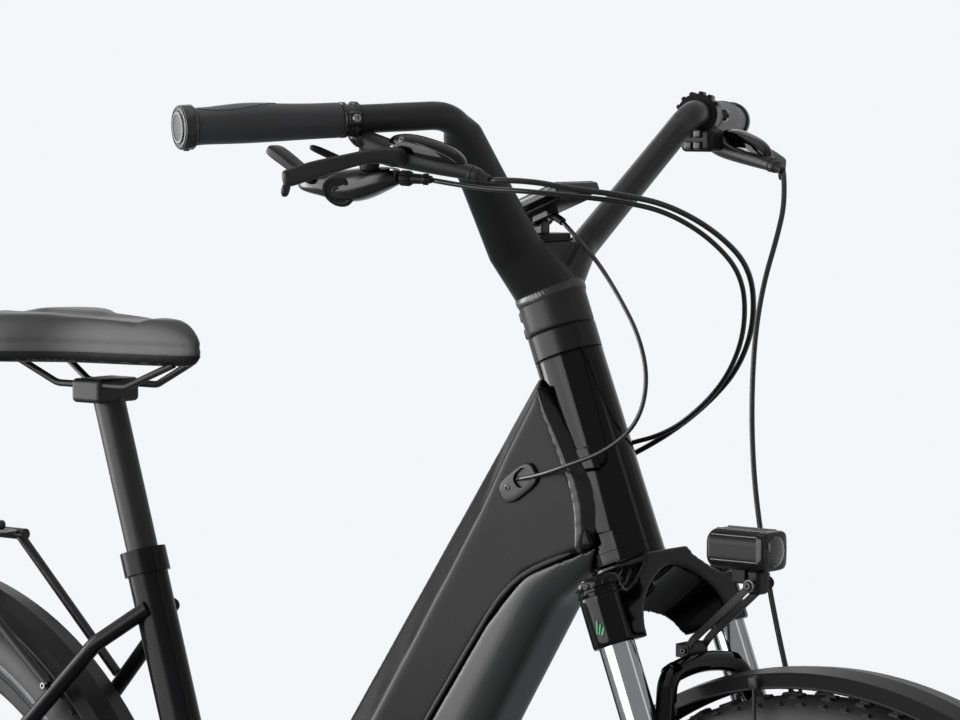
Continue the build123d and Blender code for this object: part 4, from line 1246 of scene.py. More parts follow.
@dataclass
class Grip(Assembly):
    """A rubber grip with a palm rest, a lock ring and an end cap.

    Attributes:
        stations: Places along the bar with the radius above, below and to the sides.
    """

    stations: tuple[tuple[float, float, float, float], ...] = (
        (0.1040, 0.0136, 0.0136, 0.0136), (0.1046, 0.0147, 0.0147, 0.0147), (0.1064, 0.0151, 0.0151, 0.0151),
        (0.1200, 0.0149, 0.0149, 0.0150), (0.1420, 0.0154, 0.0152, 0.0155), (0.1620, 0.0166, 0.0156, 0.0160),
        (0.1800, 0.0176, 0.0158, 0.0165), (0.1920, 0.0177, 0.0158, 0.0167), (0.2060, 0.0168, 0.0156, 0.0166),
        (0.2180, 0.0158, 0.0153, 0.0162), (0.2270, 0.0153, 0.0152, 0.0160), (0.2325, 0.0156, 0.0156, 0.0162),
        (0.2362, 0.0164, 0.0164, 0.0166))

    def sleeve(self, hand: Hand) -> None:
        """The rubber sleeve with its textured palm rest."""
        frame = bar_frame(0.0)
        rings = []
        for along, above, below, side in self.stations:
            mid, half = (above - below) / 2, (above + below) / 2
            rings.append(oval((0.0, mid, along), (1, 0, 0), (0, 1, 0), side, half, 2.1, 44))
        piece = Bench.lofted(f"grip_sleeve_{hand.value}", rings, True)
        Bench.place(piece, frame)
        Bench.place(piece, hand.flip)
        self.fit(piece, "grip_rubber", "steering", f"grip_{hand.value}")
        pad = Bench.copy(piece, f"grip_palm_{hand.value}", Matrix.Identity(4))
        back = (hand.flip @ frame).inverted()

        def off_palm(middle: Vector, _normal: Vector) -> bool:
            """Whether a face lies off the palm rest."""
            place = back @ middle
            span = (place.z - 0.163) / 0.066
            if not 0.0 < span < 1.0:
                return True
            turn = math.degrees(math.atan2(place.y, -place.x))
            reach = 64.0 * math.sin(math.pi * min(1.0, span * 0.62 + 0.12)) ** 0.7
            return abs(turn - 66.0) > reach

        with editing(pad):
            Bench.pick(pad, off_palm)
            bpy.ops.mesh.delete(type="FACE")
            bpy.ops.mesh.select_all(action="SELECT")
            bpy.ops.transform.shrink_fatten(value=0.00045)
            bpy.ops.mesh.extrude_region_shrink_fatten(TRANSFORM_OT_shrink_fatten={"value": -0.0007})
        Bench.recalculate(pad)
        pad.parent = None
        self.fit(pad, "grip_rubber", "steering", finish="grip_palm")

    def ring(self, hand: Hand) -> None:
        """The lock ring, the end cap with its generic round badge, and the thin bright edges."""
        frame = hand.flip @ bar_frame(0.0)
        collar = Bench.turned("collar", [
            (0.2350, 0.0150), (0.2352, 0.0178), (0.2362, 0.0185), (0.2385, 0.0187), (0.2450, 0.0186),
            (0.2466, 0.0180), (0.2474, 0.0172), (0.2476, 0.0160), (0.2470, 0.0158), (0.2470, 0.0136),
            (0.2478, 0.0134), (0.2480, 0.0100), (0.2480, TIP)], 72)
        pinch = Bench.turned("ring_screw", [(0.0, 0.0026), (0.0012, 0.0026), (0.0015, 0.0022),
                                            (0.0015, 0.0014), (0.0006, 0.0013), (0.0006, TIP)], 20)
        Bench.place(pinch, frame_at((0.0, -0.0181, 0.2410), (0.0, -1.0, 0.0), (0.0, 0.0, 1.0)))
        piece = Bench.place(Bench.join(f"grip_ring_{hand.value}", [collar, pinch]), frame)
        self.fit(piece, "satin_black", "steering", finish="ring_satin")
        edges = []
        for radius, along in ((0.01845, 0.2366), (0.01795, 0.2463)):
            edges.append(Bench.spun("ring_edge", [
                (radius, along - 0.0002), (radius + 0.0004, along), (radius, along + 0.0002),
                (radius - 0.0004, along)], 72))
        edges.append(Bench.spun("cap_badge", [(0.0112, 0.2478), (0.0128, 0.2478), (0.0128, 0.24835),
                                              (0.0112, 0.24835)], 72))
        piece = Bench.place(Bench.join(f"grip_edges_{hand.value}", edges), frame)
        self.fit(piece, "satin_black", "steering", finish="badge_grey")

    def build(self) -> None:
        """Make both grips."""
        for hand in Hand:
            self.sleeve(hand)
            self.ring(hand)


LEVER_START = Vector((0.267, -0.250, 1.176))
LEVER_AXIS = Vector((0.106, 0.033, -0.042)).normalized()
LEVER_RISE = (Vector((0.0, 0.0, 1.0)) - LEVER_AXIS * LEVER_AXIS.z).normalized()
LEVER_OUT = LEVER_AXIS.cross(LEVER_RISE)


def on_lever(along: float, above: float, out: float = 0.0) -> Vector:
    """A point in the right lever's own frame, in millimetres, as a place in metres."""
    return LEVER_START + (LEVER_AXIS * along + LEVER_RISE * above + LEVER_OUT * out) * 0.001


@dataclass
class BrakeLever(Assembly):
    """A hydraulic brake lever: clamp, master cylinder, reservoir, hose boot and blade.

    Attributes:
        body: Stations of the cylinder: along, above, half height and half width, in millimetres.
        tank: Stations of the glossy reservoir on it.
    """

    body: tuple[tuple[float, float, float, float], ...] = (
        (-3, -4.5, 5.0, 6.0), (0, -4.8, 8.0, 8.0), (8, -5.6, 9.6, 9.6), (18, -6.6, 11.0, 10.8),
        (30, -6.4, 11.0, 11.2), (46, -4.4, 10.2, 10.8), (62, -1.9, 9.4, 10.0), (80, 0.8, 8.4, 8.8),
        (96, 3.2, 7.0, 7.4), (104, 4.2, 6.4, 6.6), (111, 4.6, 6.2, 6.2), (112.5, 4.6, 5.2, 5.2))
    tank: tuple[tuple[float, float, float, float], ...] = (
        (26, 3.0, 3.0, 5.0), (28, 3.4, 6.0, 8.0), (35, 4.6, 8.8, 10.2), (46, 6.2, 10.6, 11.4),
        (60, 7.6, 10.6, 11.4), (76, 9.6, 9.6, 10.4), (87, 10.4, 7.0, 8.6), (94, 9.6, 3.8, 6.0),
        (96, 9.0, 2.0, 3.0))

    def loft(self, name: str, stations: Sequence[tuple[float, float, float, float]], power: float,
             count: int = 28) -> bpy.types.Object:
        """A closed body through stations in the lever's frame."""
        rings = [oval(on_lever(along, above), LEVER_RISE, LEVER_OUT, high / 1000, wide / 1000, power, count)
                 for along, above, high, wide in stations]
        return Bench.lofted(name, rings, True)

    def clamp(self, hand: Hand) -> None:
        """The split clamp on the bar with its bolt, and the neck down to the cylinder."""
        bands = [Bench.spun("band", [(0.0126, low), (0.0146, low), (0.0153, low + 0.0006),
                                     (0.0153, high - 0.0006), (0.0146, high), (0.0126, high)], 56)
                 for low, high in ((0.0885, 0.0928), (0.0992, 0.1035))]
        bridge = Bench.spun("bridge", [(0.0127, 0.0925), (0.0144, 0.0925), (0.0144, 0.0995), (0.0127, 0.0995)],
                            30, math.radians(205), math.radians(60))
        lug = Bench.block("lug", (0.0085, 0.0120, 0.0125), 0.0024)
        Bench.place(lug, Matrix.Translation((0.0146, 0.0010, 0.0960)))
        parts = [Bench.place(Bench.join("clamp", bands + [bridge, lug]), bar_frame(0.0))]
        sections = (((0.2625, -0.2570, 1.1760), 0.0085, 0.0060), ((0.2655, -0.2545, 1.1700), 0.0085, 0.0068),
                    ((0.2700, -0.2510, 1.1630), 0.0080, 0.0070))
        parts.append(Bench.lofted("neck", [oval(place, (1, -0.5, 0), (0.5, 1, 0), a, b, 3.0, 20)
                                           for place, a, b in sections], True))
        piece = Bench.place(Bench.join(f"lever_clamp_{hand.value}", parts), hand.flip)
        self.fit(piece, "satin_black", "steering", finish="clamp_gloss")
        edges = []
        for along in (0.0883, 0.1037):
            edges.append(Bench.spun("edge", [(0.0146, along - 0.00025), (0.0151, along), (0.0146, along + 0.00025),
                                             (0.0142, along)], 64))
        bolt = Bench.turned("bolt", [(0.0, 0.0034), (0.0016, 0.0036), (0.0024, 0.0031), (0.0026, 0.0020),
                                     (0.0012, 0.0018), (0.0012, TIP)], 24)
        Bench.place(bolt, frame_at((0.0186, 0.0012, 0.0960), (1.0, 0.12, 0.0), (0.0, 0.0, 1.0)))
        piece = Bench.place(Bench.join(f"lever_bright_{hand.value}", edges + [bolt]), hand.flip @ bar_frame(0.0))
        self.fit(piece, "steel", "steering", finish="bolt_steel")

    def cylinder(self, hand: Hand) -> None:
        """The satin body with the hose boot, and the glossy reservoir with its screws and trim line."""
        body = self.loft("body", self.body, 2.3)
        boot = Bench.lofted("boot", [oval(on_lever(along, 4.6), LEVER_RISE, LEVER_OUT, r, r, 2.0, 24)
                                     for along, r in ((111, 0.0046), (114, 0.0047), (115, 0.0040),
                                                      (120, 0.0036), (120.5, 0.0026))])
        seam = Bench.lofted("seam", [oval(on_lever(along, above), LEVER_RISE, LEVER_OUT, r, r, 2.2, 28)
                                     for along, above, r in ((103.2, 4.1, 0.0060), (103.4, 4.1, 0.0071),
                                                             (104.6, 4.2, 0.0071), (104.8, 4.2, 0.0060))])
        piece = Bench.place(Bench.join(f"lever_body_{hand.value}", [body, boot, seam]), hand.flip)
        self.fit(piece, "satin_black", "steering", f"lever_{hand.value}", angle=50.0)
        tank = self.loft(f"lever_tank_{hand.value}", self.tank, 2.6)
        self.fit(Bench.place(tank, hand.flip), "satin_black", "steering", angle=50.0, finish="tank_gloss")
        bright = []
        for along, above, out in ((38.4, 9.0, 9.6), (84.0, 13.0, 6.0)):
            head = Bench.turned("screw", [(0.0, 0.0023), (0.0009, 0.0023), (0.0011, 0.0018), (0.0011, 0.0010),
                                          (0.0003, 0.0009), (0.0003, TIP)], 20)
            seat = frame_at(on_lever(along, above, out), LEVER_OUT + LEVER_RISE * 0.45, LEVER_AXIS)
            bright.append(Bench.place(head, seat))
        for route in (((52, 11.2, 11.0), (62, 11.6, 10.9), (75, 11.2, 10.1), (85, 10.4, 8.9), (90, 8.6, 7.7)),
                      ((41, 4.6, 11.3), (46, 6.0, 11.7), (52, 7.4, 11.7))):
            bright.append(Bench.wire("trim", [on_lever(*place) for place in route], 0.00035, 2))
        piece = Bench.place(Bench.join(f"lever_trim_{hand.value}", bright), hand.flip)
        self.fit(piece, "steel", "steering", finish="trim_light")

    def blade(self, hand: Hand) -> None:
        """The pivot and the curved blade with its hooked tip."""
        stations = (((0.3030, -0.2440, 1.1565), 0.0078, 0.0080), ((0.3080, -0.2560, 1.1560), 0.0088, 0.0088),
                    ((0.3075, -0.2680, 1.1575), 0.0072, 0.0070), ((0.3020, -0.2820, 1.1580), 0.0056, 0.0052),
                    ((0.2955, -0.3000, 1.1540), 0.0060, 0.0042), ((0.2890, -0.3180, 1.1500), 0.0068, 0.0038),
                    ((0.2840, -0.3350, 1.1465), 0.0074, 0.0036), ((0.2800, -0.3500, 1.1420), 0.0076, 0.0036),
                    ((0.2780, -0.3590, 1.1400), 0.0074, 0.0038), ((0.2775, -0.3622, 1.1395), 0.0060, 0.0030))
        blade = Bench.lofted("blade", tube_rings(stations, (0.0, 0.0, 1.0), 3.2, 24), True)
        hook = Bench.lofted("hook", tube_rings((
            ((0.2780, -0.3575, 1.1360), 0.0030, 0.0036), ((0.2772, -0.3592, 1.1315), 0.0034, 0.0044),
            ((0.2766, -0.3598, 1.1272), 0.0030, 0.0040), ((0.2764, -0.3598, 1.1248), 0.0014, 0.0020)),
            (1.0, 0.0, 0.0), 2.0, 16), True)
        piece = Bench.place(Bench.join(f"lever_blade_{hand.value}", [blade, hook]), hand.flip)
        self.fit(piece, "satin_black", "steering", angle=50.0)
        pins = []
        for lift in (-0.0092, 0.0092):
            pin = Bench.turned("pin", [(0.0, 0.0040), (0.0010, 0.0040), (0.0014, 0.0034), (0.0014, 0.0016),
                                       (0.0006, 0.0015), (0.0006, TIP)], 24)
            turn = Matrix.Identity(4) if lift > 0 else Matrix.Rotation(math.pi, 4, "X")
            pins.append(Bench.place(pin, Matrix.Translation((0.3075, -0.2570, 1.1558 + lift)) @ turn))
        piece = Bench.place(Bench.join(f"lever_pivot_{hand.value}", pins), hand.flip)
        self.fit(piece, "steel", "steering", finish="bolt_steel")

    def build(self) -> None:
        """Make both levers."""
        for hand in Hand:
            self.clamp(hand)
            self.cylinder(hand)
            self.blade(hand)


@dataclass
class Shifter(Assembly):
    """The gear shifter under the right lever."""

    def body(self) -> None:
        """The rounded case with its cover plate."""
        stations = (((0.1790, -0.2300, 1.1330), 0.0040, 0.0060), ((0.1850, -0.2300, 1.1325), 0.0075, 0.0100),
                    ((0.1980, -0.2295, 1.1325), 0.0098, 0.0140), ((0.2150, -0.2290, 1.1320), 0.0122, 0.0165),
                    ((0.2320, -0.2285, 1.1305), 0.0146, 0.0170), ((0.2480, -0.2280, 1.1325), 0.0142, 0.0165),
                    ((0.2640, -0.2270, 1.1365), 0.0118, 0.0150), ((0.2780, -0.2250, 1.1392), 0.0088, 0.0110),
                    ((0.2850, -0.2240, 1.1396), 0.0062, 0.0070))
        case = Bench.lofted("shifter_case", tube_rings(stations, (0.0, 0.0, 1.0), 2.6, 28), True)
        self.fit(case, "black_plastic", "steering", "shifter", angle=50.0, finish="case_gloss")
        cover = Bench.turned("cover", [(0.0, 0.0150), (0.0022, 0.0150), (0.0030, 0.0142), (0.0030, 0.0112),
                                       (0.0024, 0.0108), (0.0024, 0.0052), (0.0032, 0.0048), (0.0032, TIP)], 48)
        Bench.place(cover, frame_at((0.2320, -0.2410, 1.1270), (0.18, -0.86, -0.48)))
        sections = (((0.2660, -0.2440, 1.1680), 0.0100, 0.0060), ((0.2650, -0.2400, 1.1560), 0.0110, 0.0065),
                    ((0.2600, -0.2340, 1.1420), 0.0120, 0.0080))
        arm = Bench.lofted("arm", [oval(place, (1, -0.4, 0), (0.4, 1, 0), a, b, 3.0, 20)
                                   for place, a, b in sections], True)
        self.fit(Bench.join("shifter_cover", [cover, arm]), "black_plastic", "steering")

    def paddles(self) -> None:
        """The thumb paddle and the release lever."""
        thumb = Bench.lofted("thumb", tube_rings((
            ((0.2080, -0.2420, 1.1330), 0.0040, 0.0070), ((0.1960, -0.2430, 1.1400), 0.0046, 0.0086),
            ((0.1800, -0.2440, 1.1500), 0.0050, 0.0096), ((0.1670, -0.2440, 1.1575), 0.0054, 0.0098),
            ((0.1600, -0.2440, 1.1610), 0.0050, 0.0092), ((0.1578, -0.2440, 1.1620), 0.0034, 0.0070)),
            (0.0, 0.0, 1.0), 3.6, 24), True)
        rib = Bench.lofted("rib", tube_rings((
            ((0.1900, -0.2500, 1.1465), 0.0016, 0.0012), ((0.1760, -0.2520, 1.1550), 0.0022, 0.0016),
            ((0.1650, -0.2520, 1.1612), 0.0016, 0.0012)), (0.0, 0.0, 1.0), 2.0, 12))
        release = Bench.lofted("release", tube_rings((
            ((0.2520, -0.2500, 1.1500), 0.0032, 0.0050), ((0.2440, -0.2620, 1.1560), 0.0032, 0.0056),
            ((0.2360, -0.2720, 1.1620), 0.0034, 0.0058), ((0.2310, -0.2780, 1.1650), 0.0024, 0.0042)),
            (0.0, 0.0, 1.0), 3.2, 20), True)
        self.fit(Bench.join("shifter_paddles", [thumb, rib, release]), "black_plastic", "steering", angle=45.0)

    def barrel(self) -> None:
        """The ribbed adjuster where the cable enters."""
        profile = [(0.0, 0.0052), (0.0010, 0.0062), (0.0100, 0.0062), (0.0110, 0.0056), (0.0120, 0.0046),
                   (0.0220, 0.0042), (0.0232, 0.0050), (0.0262, 0.0050), (0.0272, 0.0036), (0.0300, 0.0032),
                   (0.0300, 0.0024)]
        parts = [Bench.turned("barrel", profile, 28)]
        for index in range(14):
            rib = Bench.block("rib", (0.0010, 0.0014, 0.0080), 0.0003)
            turn = Matrix.Rotation(FULL_TURN * index / 14, 4, "Z")
            parts.append(Bench.place(rib, turn @ Matrix.Translation((0.0062, 0.0, 0.0055))))
        piece = Bench.join("shifter_barrel", parts)
        Bench.place(piece, frame_at((0.2840, -0.2218, 1.1382), (0.0300, 0.0060, -0.0012)))
        self.fit(piece, "black_plastic", "steering")

    def build(self) -> None:
        """Make the whole shifter."""
        self.body()
        self.paddles()
        self.barrel()


def mm(x: float, y: float, z: float) -> Vector:
    """A place given in millimetres."""
    return Vector((x, y, z)) * 0.001


def between(rows: Sequence[Sequence[float]], key: float) -> list[float]:
    """Read a table at a key that falls between two of its rows.

    Args:
        rows: Rows in rising order of their first value.
        key: Where to read.

    Returns:
        The other values of the row, blended.
    """
    for low, high in zip(rows, rows[1:]):
        if key <= high[0]:
            share = max(0.0, (key - low[0]) / (high[0] - low[0]))
            return [a + (b - a) * share for a, b in zip(low[1:], high[1:])]
    return list(rows[-1][1:])


def screw(place: Vector, towards: Sequence[float], radius: float = 0.003, tall: float = 0.003) -> bpy.types.Object:
    """A socket-head screw, its foot at a place."""
    piece = Bench.turned("screw", [(-0.001, radius), (tall * 0.8, radius), (tall, radius * 0.84),
                                   (tall, radius * 0.5), (tall * 0.4, radius * 0.48), (tall * 0.4, 1e-5)], 18)
    side = (0.0, 0.0, 1.0) if abs(Vector(towards).normalized().z) < 0.9 else (1.0, 0.0, 0.0)
    return Bench.place(piece, frame_at(place, towards, side))


@dataclass
class Beam(Assembly):
    """The deep beam of the frame: its shell, welds, battery seam and cable ports.

    Attributes:
        shoulder: Along the top line, a place in X and Z and how far down the flank its facet reaches.
        weld: Along the steering axis, where the weld starts and ends fore and aft.
        seam: The line between shell and battery, in X and Z.
    """

    shoulder: tuple[Point, ...] = (
        (300, 987, 15), (283, 962, 18), (245, 906, 21), (200, 839, 28), (155, 773, 31), (110, 707, 34),
        (60, 633, 36), (10, 561, 34), (-50, 492, 30), (-115, 417, 22), (-152, 374, 18))
    weld: tuple[Point, ...] = (
        (16, -21, -14), (22, -24, -7.5), (33, -20, 0.5), (51, -13.8, 6.0), (68, -11, 8.0), (82, -10.3, 7.2),
        (98, -12.0, 3.8), (120, -13.3, 0.6), (143, -15.6, -4.0), (160, -14.6, -8.2), (170, -13.0, -11.0))
    seam: tuple[tuple[float, float], ...] = (
        (2, 402), (92, 530), (226, 725), (250, 757), (274, 778), (300, 790), (333, 803))

    def facet(self, side: int) -> bpy.types.Object:
        """The wedge that takes the shoulder off one side of the shell."""
        rings = []
        for x, z, deep in self.shoulder:
            rings.append([mm(x + 0.80 * deep, side * 43.5, z - 0.60 * deep), mm(x + 0.4, side * 25, z - 0.3),
                          mm(x - 12, side * 25, z + 8), mm(x - 12, side * 60, z + 8),
                          mm(x + 30, side * 60, z - 20)])
        piece = Bench.lofted("wedge", rings)
        Bench.recalculate(piece)
        return piece

    def shell(self) -> None:
        """The upper shell with faceted shoulders, and the battery under it."""
        piece = self.cast("down_tube", "beam_shell", 0.0024, 9, [self.facet(-1), self.facet(1)])
        self.fit(piece, "frame_charcoal", "frame", "down_tube", angle=60.0)
        piece = self.cast("battery", "battery_case", 0.0024, 4)
        self.fit(piece, "battery_matte", "frame", "battery", angle=60.0)

    def joins(self) -> None:
        """The scalloped welds from the flanks to the head tube, and the raised rim over the battery."""
        for side, word in ((-1, "right"), (1, "left")):
            rings = []
            for index in range(62):
                along = 16 + index * 2.5
                start, end = between(self.weld, along)
                wave = 0.35 * math.sin(along * 0.61) + 0.3 * math.sin(along * 0.27 + 1.0)
                start, end = start - 0.5 * wave, end + 0.6 * wave
                wide = end - start
                lift = min(1.0, (index + 1) / 6, (63 - index) / 10)
                section = ((start, 40.5),
                           (start + 0.4, 42.3),
                           (start + 0.16 * wide, 42.3 + (1.5 + 0.35 * wave) * lift),
                           (start + 0.42 * wide, 41.9 + (1.7 + 0.4 * wave) * lift),
                           (start + 0.64 * wide, 39.6 + 1.2 * lift),
                           (start + 0.84 * wide, 35.2 + 0.9 * lift),
                           (end, 32.2), (end, 30.0), (start + 0.5 * wide, 30.0), (start, 36.0))
                rings.append([steer_frame(along / 1000).translation + (STEER_FORE * fore + LEFT * side * out) / 1000
                              for fore, out in section])
            piece = Bench.lofted(f"neck_weld_{word}", rings, True)
            Bench.recalculate(piece)
            # The welds take the frame's paint made lighter: painted light on the band, over the weld's real
            # ripples.
            self.fit(piece, "frame_charcoal", "frame", angle=80.0, finish="weld_charcoal_painted_light")
            rings = []
            for (x, z), (fx, fz) in zip(self.seam, self.seam[1:] + ((352, 811),)):
                ahead = Vector((fx - x, 0.0, fz - z)).normalized()
                over = Vector((-ahead.z, 0.0, ahead.x))
                rings.append([mm(x, side * out, z) + over * lift / 1000
                              for lift, out in ((0.5, 41), (0.6, 42.2), (1.4, 42.7), (4.2, 42.6), (5.8, 42.1),
                                                (6.0, 41))])
            piece = Bench.lofted(f"battery_rim_{word}", rings, True)
            Bench.recalculate(piece)
            self.fit(piece, "frame_charcoal", "frame", angle=80.0)

    def ports(self) -> None:
        """The cable ports: a plate with an oval mouth, and its screw."""
        for side, word in ((-1, "right"), (1, "left")):
            frame = frame_at(mm(271.2, side * 42.0, 863), (0, side, 0), (0.819, 0, 0.574))
            lift = 1 if side < 0 else -1
            rings = [oval((0, 0, z), (1, 0, 0), (0, 1, 0), a, b, 3.4, 40)
                     for a, b, z in ((0.0225, 0.0118, -0.001), (0.0225, 0.0118, 0.0026), (0.0216, 0.0110, 0.0036),
                                     (0.0196, 0.0090, 0.0040), (0.0150, 0.0060, 0.0041))]
            plate = Bench.lofted("plate", rings)
            mouth = Bench.lofted("mouth", [oval((0.0070, lift * 0.0014, z), (1, 0.1 * lift, 0), (-0.1 * lift, 1, 0),
                                                a, b, 2.6, 32)
                                           for a, b, z in ((0.0092, 0.0072, 0.0012), (0.0092, 0.0072, 0.003),
                                                           (0.0102, 0.0082, 0.006))])
            Bench.cut(plate, mouth)
            self.fit(Bench.place(plate, frame), "black_plastic", "frame", f"cable_port_{word}",
                     finish="port_plastic")
            ring = Bench.spun("ring", [(0.0016, 0.0038), (0.0026, 0.0038), (0.0026, 0.0049), (0.0020, 0.0052),
                                       (0.0016, 0.0048)], 32)
            Bench.place(ring, frame @ Matrix.Translation((-0.0120, lift * 0.0026, 0.0)))
            self.fit(ring, "steel", "frame", finish="trim_light")

    def head(self) -> None:
        """The headset's rings and the bare front plate on the head tube."""
        rings = [Bench.spun("ring", [(r - 0.002, z - 0.0004), (r, z - 0.0003), (r + 0.00035, z), (r, z + 0.0003),
                                     (r - 0.002, z + 0.0004)], 96)
                 for r, z in ((0.0311, 0.1898), (0.0331, 0.0016), (0.03305, 0.0105))]
        plate = Bench.spun("plate", [(0.0312, 0.0270), (0.0334, 0.0275), (0.0337, 0.0295), (0.0330, 0.1030),
                                     (0.0326, 0.1050), (0.0304, 0.1055)], 40, math.radians(112), math.radians(-56))
        piece = Bench.place(Bench.join("head_rings", rings + [plate]), steer_frame(0.0))
        self.fit(piece, "frame_gloss", "frame")

    def build(self) -> None:
        """Make every piece of the beam."""
        self.shell()
        self.joins()
        self.ports()
        self.head()


@dataclass
class Fork(Assembly):
    """The suspension fork: its forged crown, caps, seals, stripes and bridge."""

    def leg(self, along: float, side: int) -> Matrix:
        """A frame on one leg's axis."""
        return steer_frame(along / 1000, 0.022, side * 0.082)

    def sleeve(self, name: str, profile: Sequence[tuple[float, float]], sides: int,
               frame: Matrix) -> bpy.types.Object:
        """A turned piece in a frame, with its heights and radii in millimetres."""
        return Bench.place(Bench.turned(name, [(z / 1000, r / 1000) for z, r in profile], sides), frame)

    def ends(self) -> None:
        """The ribbed caps on the legs, their seals and the feet of the lowers."""
        caps, seals = [], []
        for side, top, r in ((-1, 0.0, 20.0), (1, -7.0, 17.0)):
            profile = [(-16.5, r + 0.9), (-13.0, r + 1.2), (-12.0, r - 0.4), (-10.5, r - 0.6), (-9.5, r + 0.7),
                       (-5.0, r + 0.9), (-3.5, r + 0.4), (-2.6, r - 1.6), (-1.2, r - 2.2), (0.2, r - 5.5),
                       (0.4, r - 9.0), (-2.2, r - 9.3), (-2.4, 0.01)]
            caps.append(self.sleeve("cap", profile, 56, self.leg(top - 13.0, side)))
            for index in range(18):
                rib = Bench.block("rib", (0.0016, 0.0026, 0.0040), 0.0005)
                turn = Matrix.Rotation(index * math.pi / 9, 4, "Z")
                turn = turn @ Matrix.Translation(((r + 0.8) / 1000, 0.0, -0.0072))
                caps.append(Bench.place(rib, self.leg(top - 13.0, side) @ turn))
            profile = [(-170, 22.3), (-164, 23.0), (-161, 23.0), (-160, 21.8), (-158.5, 21.6), (-157.5, 22.2),
                       (-155.5, 21.8), (-154.5, 18.6), (-153.5, 16.3)]
            seals.append(self.sleeve("seal", profile, 48, self.leg(0.0, side)))
            profile = [(-516, 7.0), (-515.5, 10.5), (-513, 12.0), (-508, 17.6)]
            seals.append(self.sleeve("foot", profile, 32, self.leg(0.0, side)))
        self.fit(Bench.join("fork_caps", caps), "frame_gloss", "steering")
        self.fit(Bench.join("fork_seals", seals), "black_plastic", "steering")

    def stripes(self) -> None:
        """The three slanted stripes on each leg."""
        marks = []
        for index, (turn, high) in enumerate(((-84, 6.5), (-90, 8.5), (-96, 10.5))):
            for side in (-1, 1):
                bar = Bench.plate("mark", [(0, 0), (0.0020, 0), (0.0062, high / 1000), (0.0042, high / 1000)],
                                  0.0004)
                spin = Matrix.Rotation(math.radians(turn if side < 0 else -turn), 4, "Z")
                flip = Matrix.Diagonal((1.0, float(-side), 1.0, 1.0))
                stand = spin @ Matrix.Translation((0.0207, 0.0, -0.064 + index * 0.0012)) @ flip
                stand = stand @ frame_at((0, 0, 0), (1, 0, 0), (0, 1, 0))
                marks.append(Bench.place(bar, self.leg(0.0, side) @ stand))
        self.fit(Bench.join("fork_marks", marks), "frame_gloss", "steering", finish="accent_green")

    def bridge(self) -> None:
        """The webs from the steering axis out to the legs, and the race under the head tube."""
        plates = []
        for side in (-1, 1):
            sections = ((-0.012, 0.016, 0.030, 0.010, 0.011), (-0.018, 0.024, 0.044, 0.0080, 0.0090),
                        (-0.026, 0.028, 0.058, 0.0055, 0.0070), (-0.034, 0.029, 0.070, 0.0030, 0.0050))
            rings = [oval(STEER_FOOT + STEER_UP * t + STEER_FORE * f + LEFT * side * y, STEER_UP, STEER_FORE,
                          a, b, 2.4, 20) for t, f, y, a, b in sections]
            plates.append(Bench.lofted("web", rings, True))
        plates.append(Bench.place(Bench.spun("race", [(0.0300, -0.0012), (0.0362, -0.0030), (0.0368, -0.0052),
                                                      (0.0350, -0.0068), (0.0300, -0.0080)], 72), steer_frame(0.0)))
        self.fit(Bench.join("crown_webs", plates), "frame_gloss", "steering")

    def build(self) -> None:
        """Make every piece of the fork."""
        self.fit(self.cast("fork_crown", "crown_forging", 0.0017, 7), "frame_gloss", "steering", "fork_crown",
                 angle=60.0)
        self.ends()
        self.stripes()
        self.bridge()


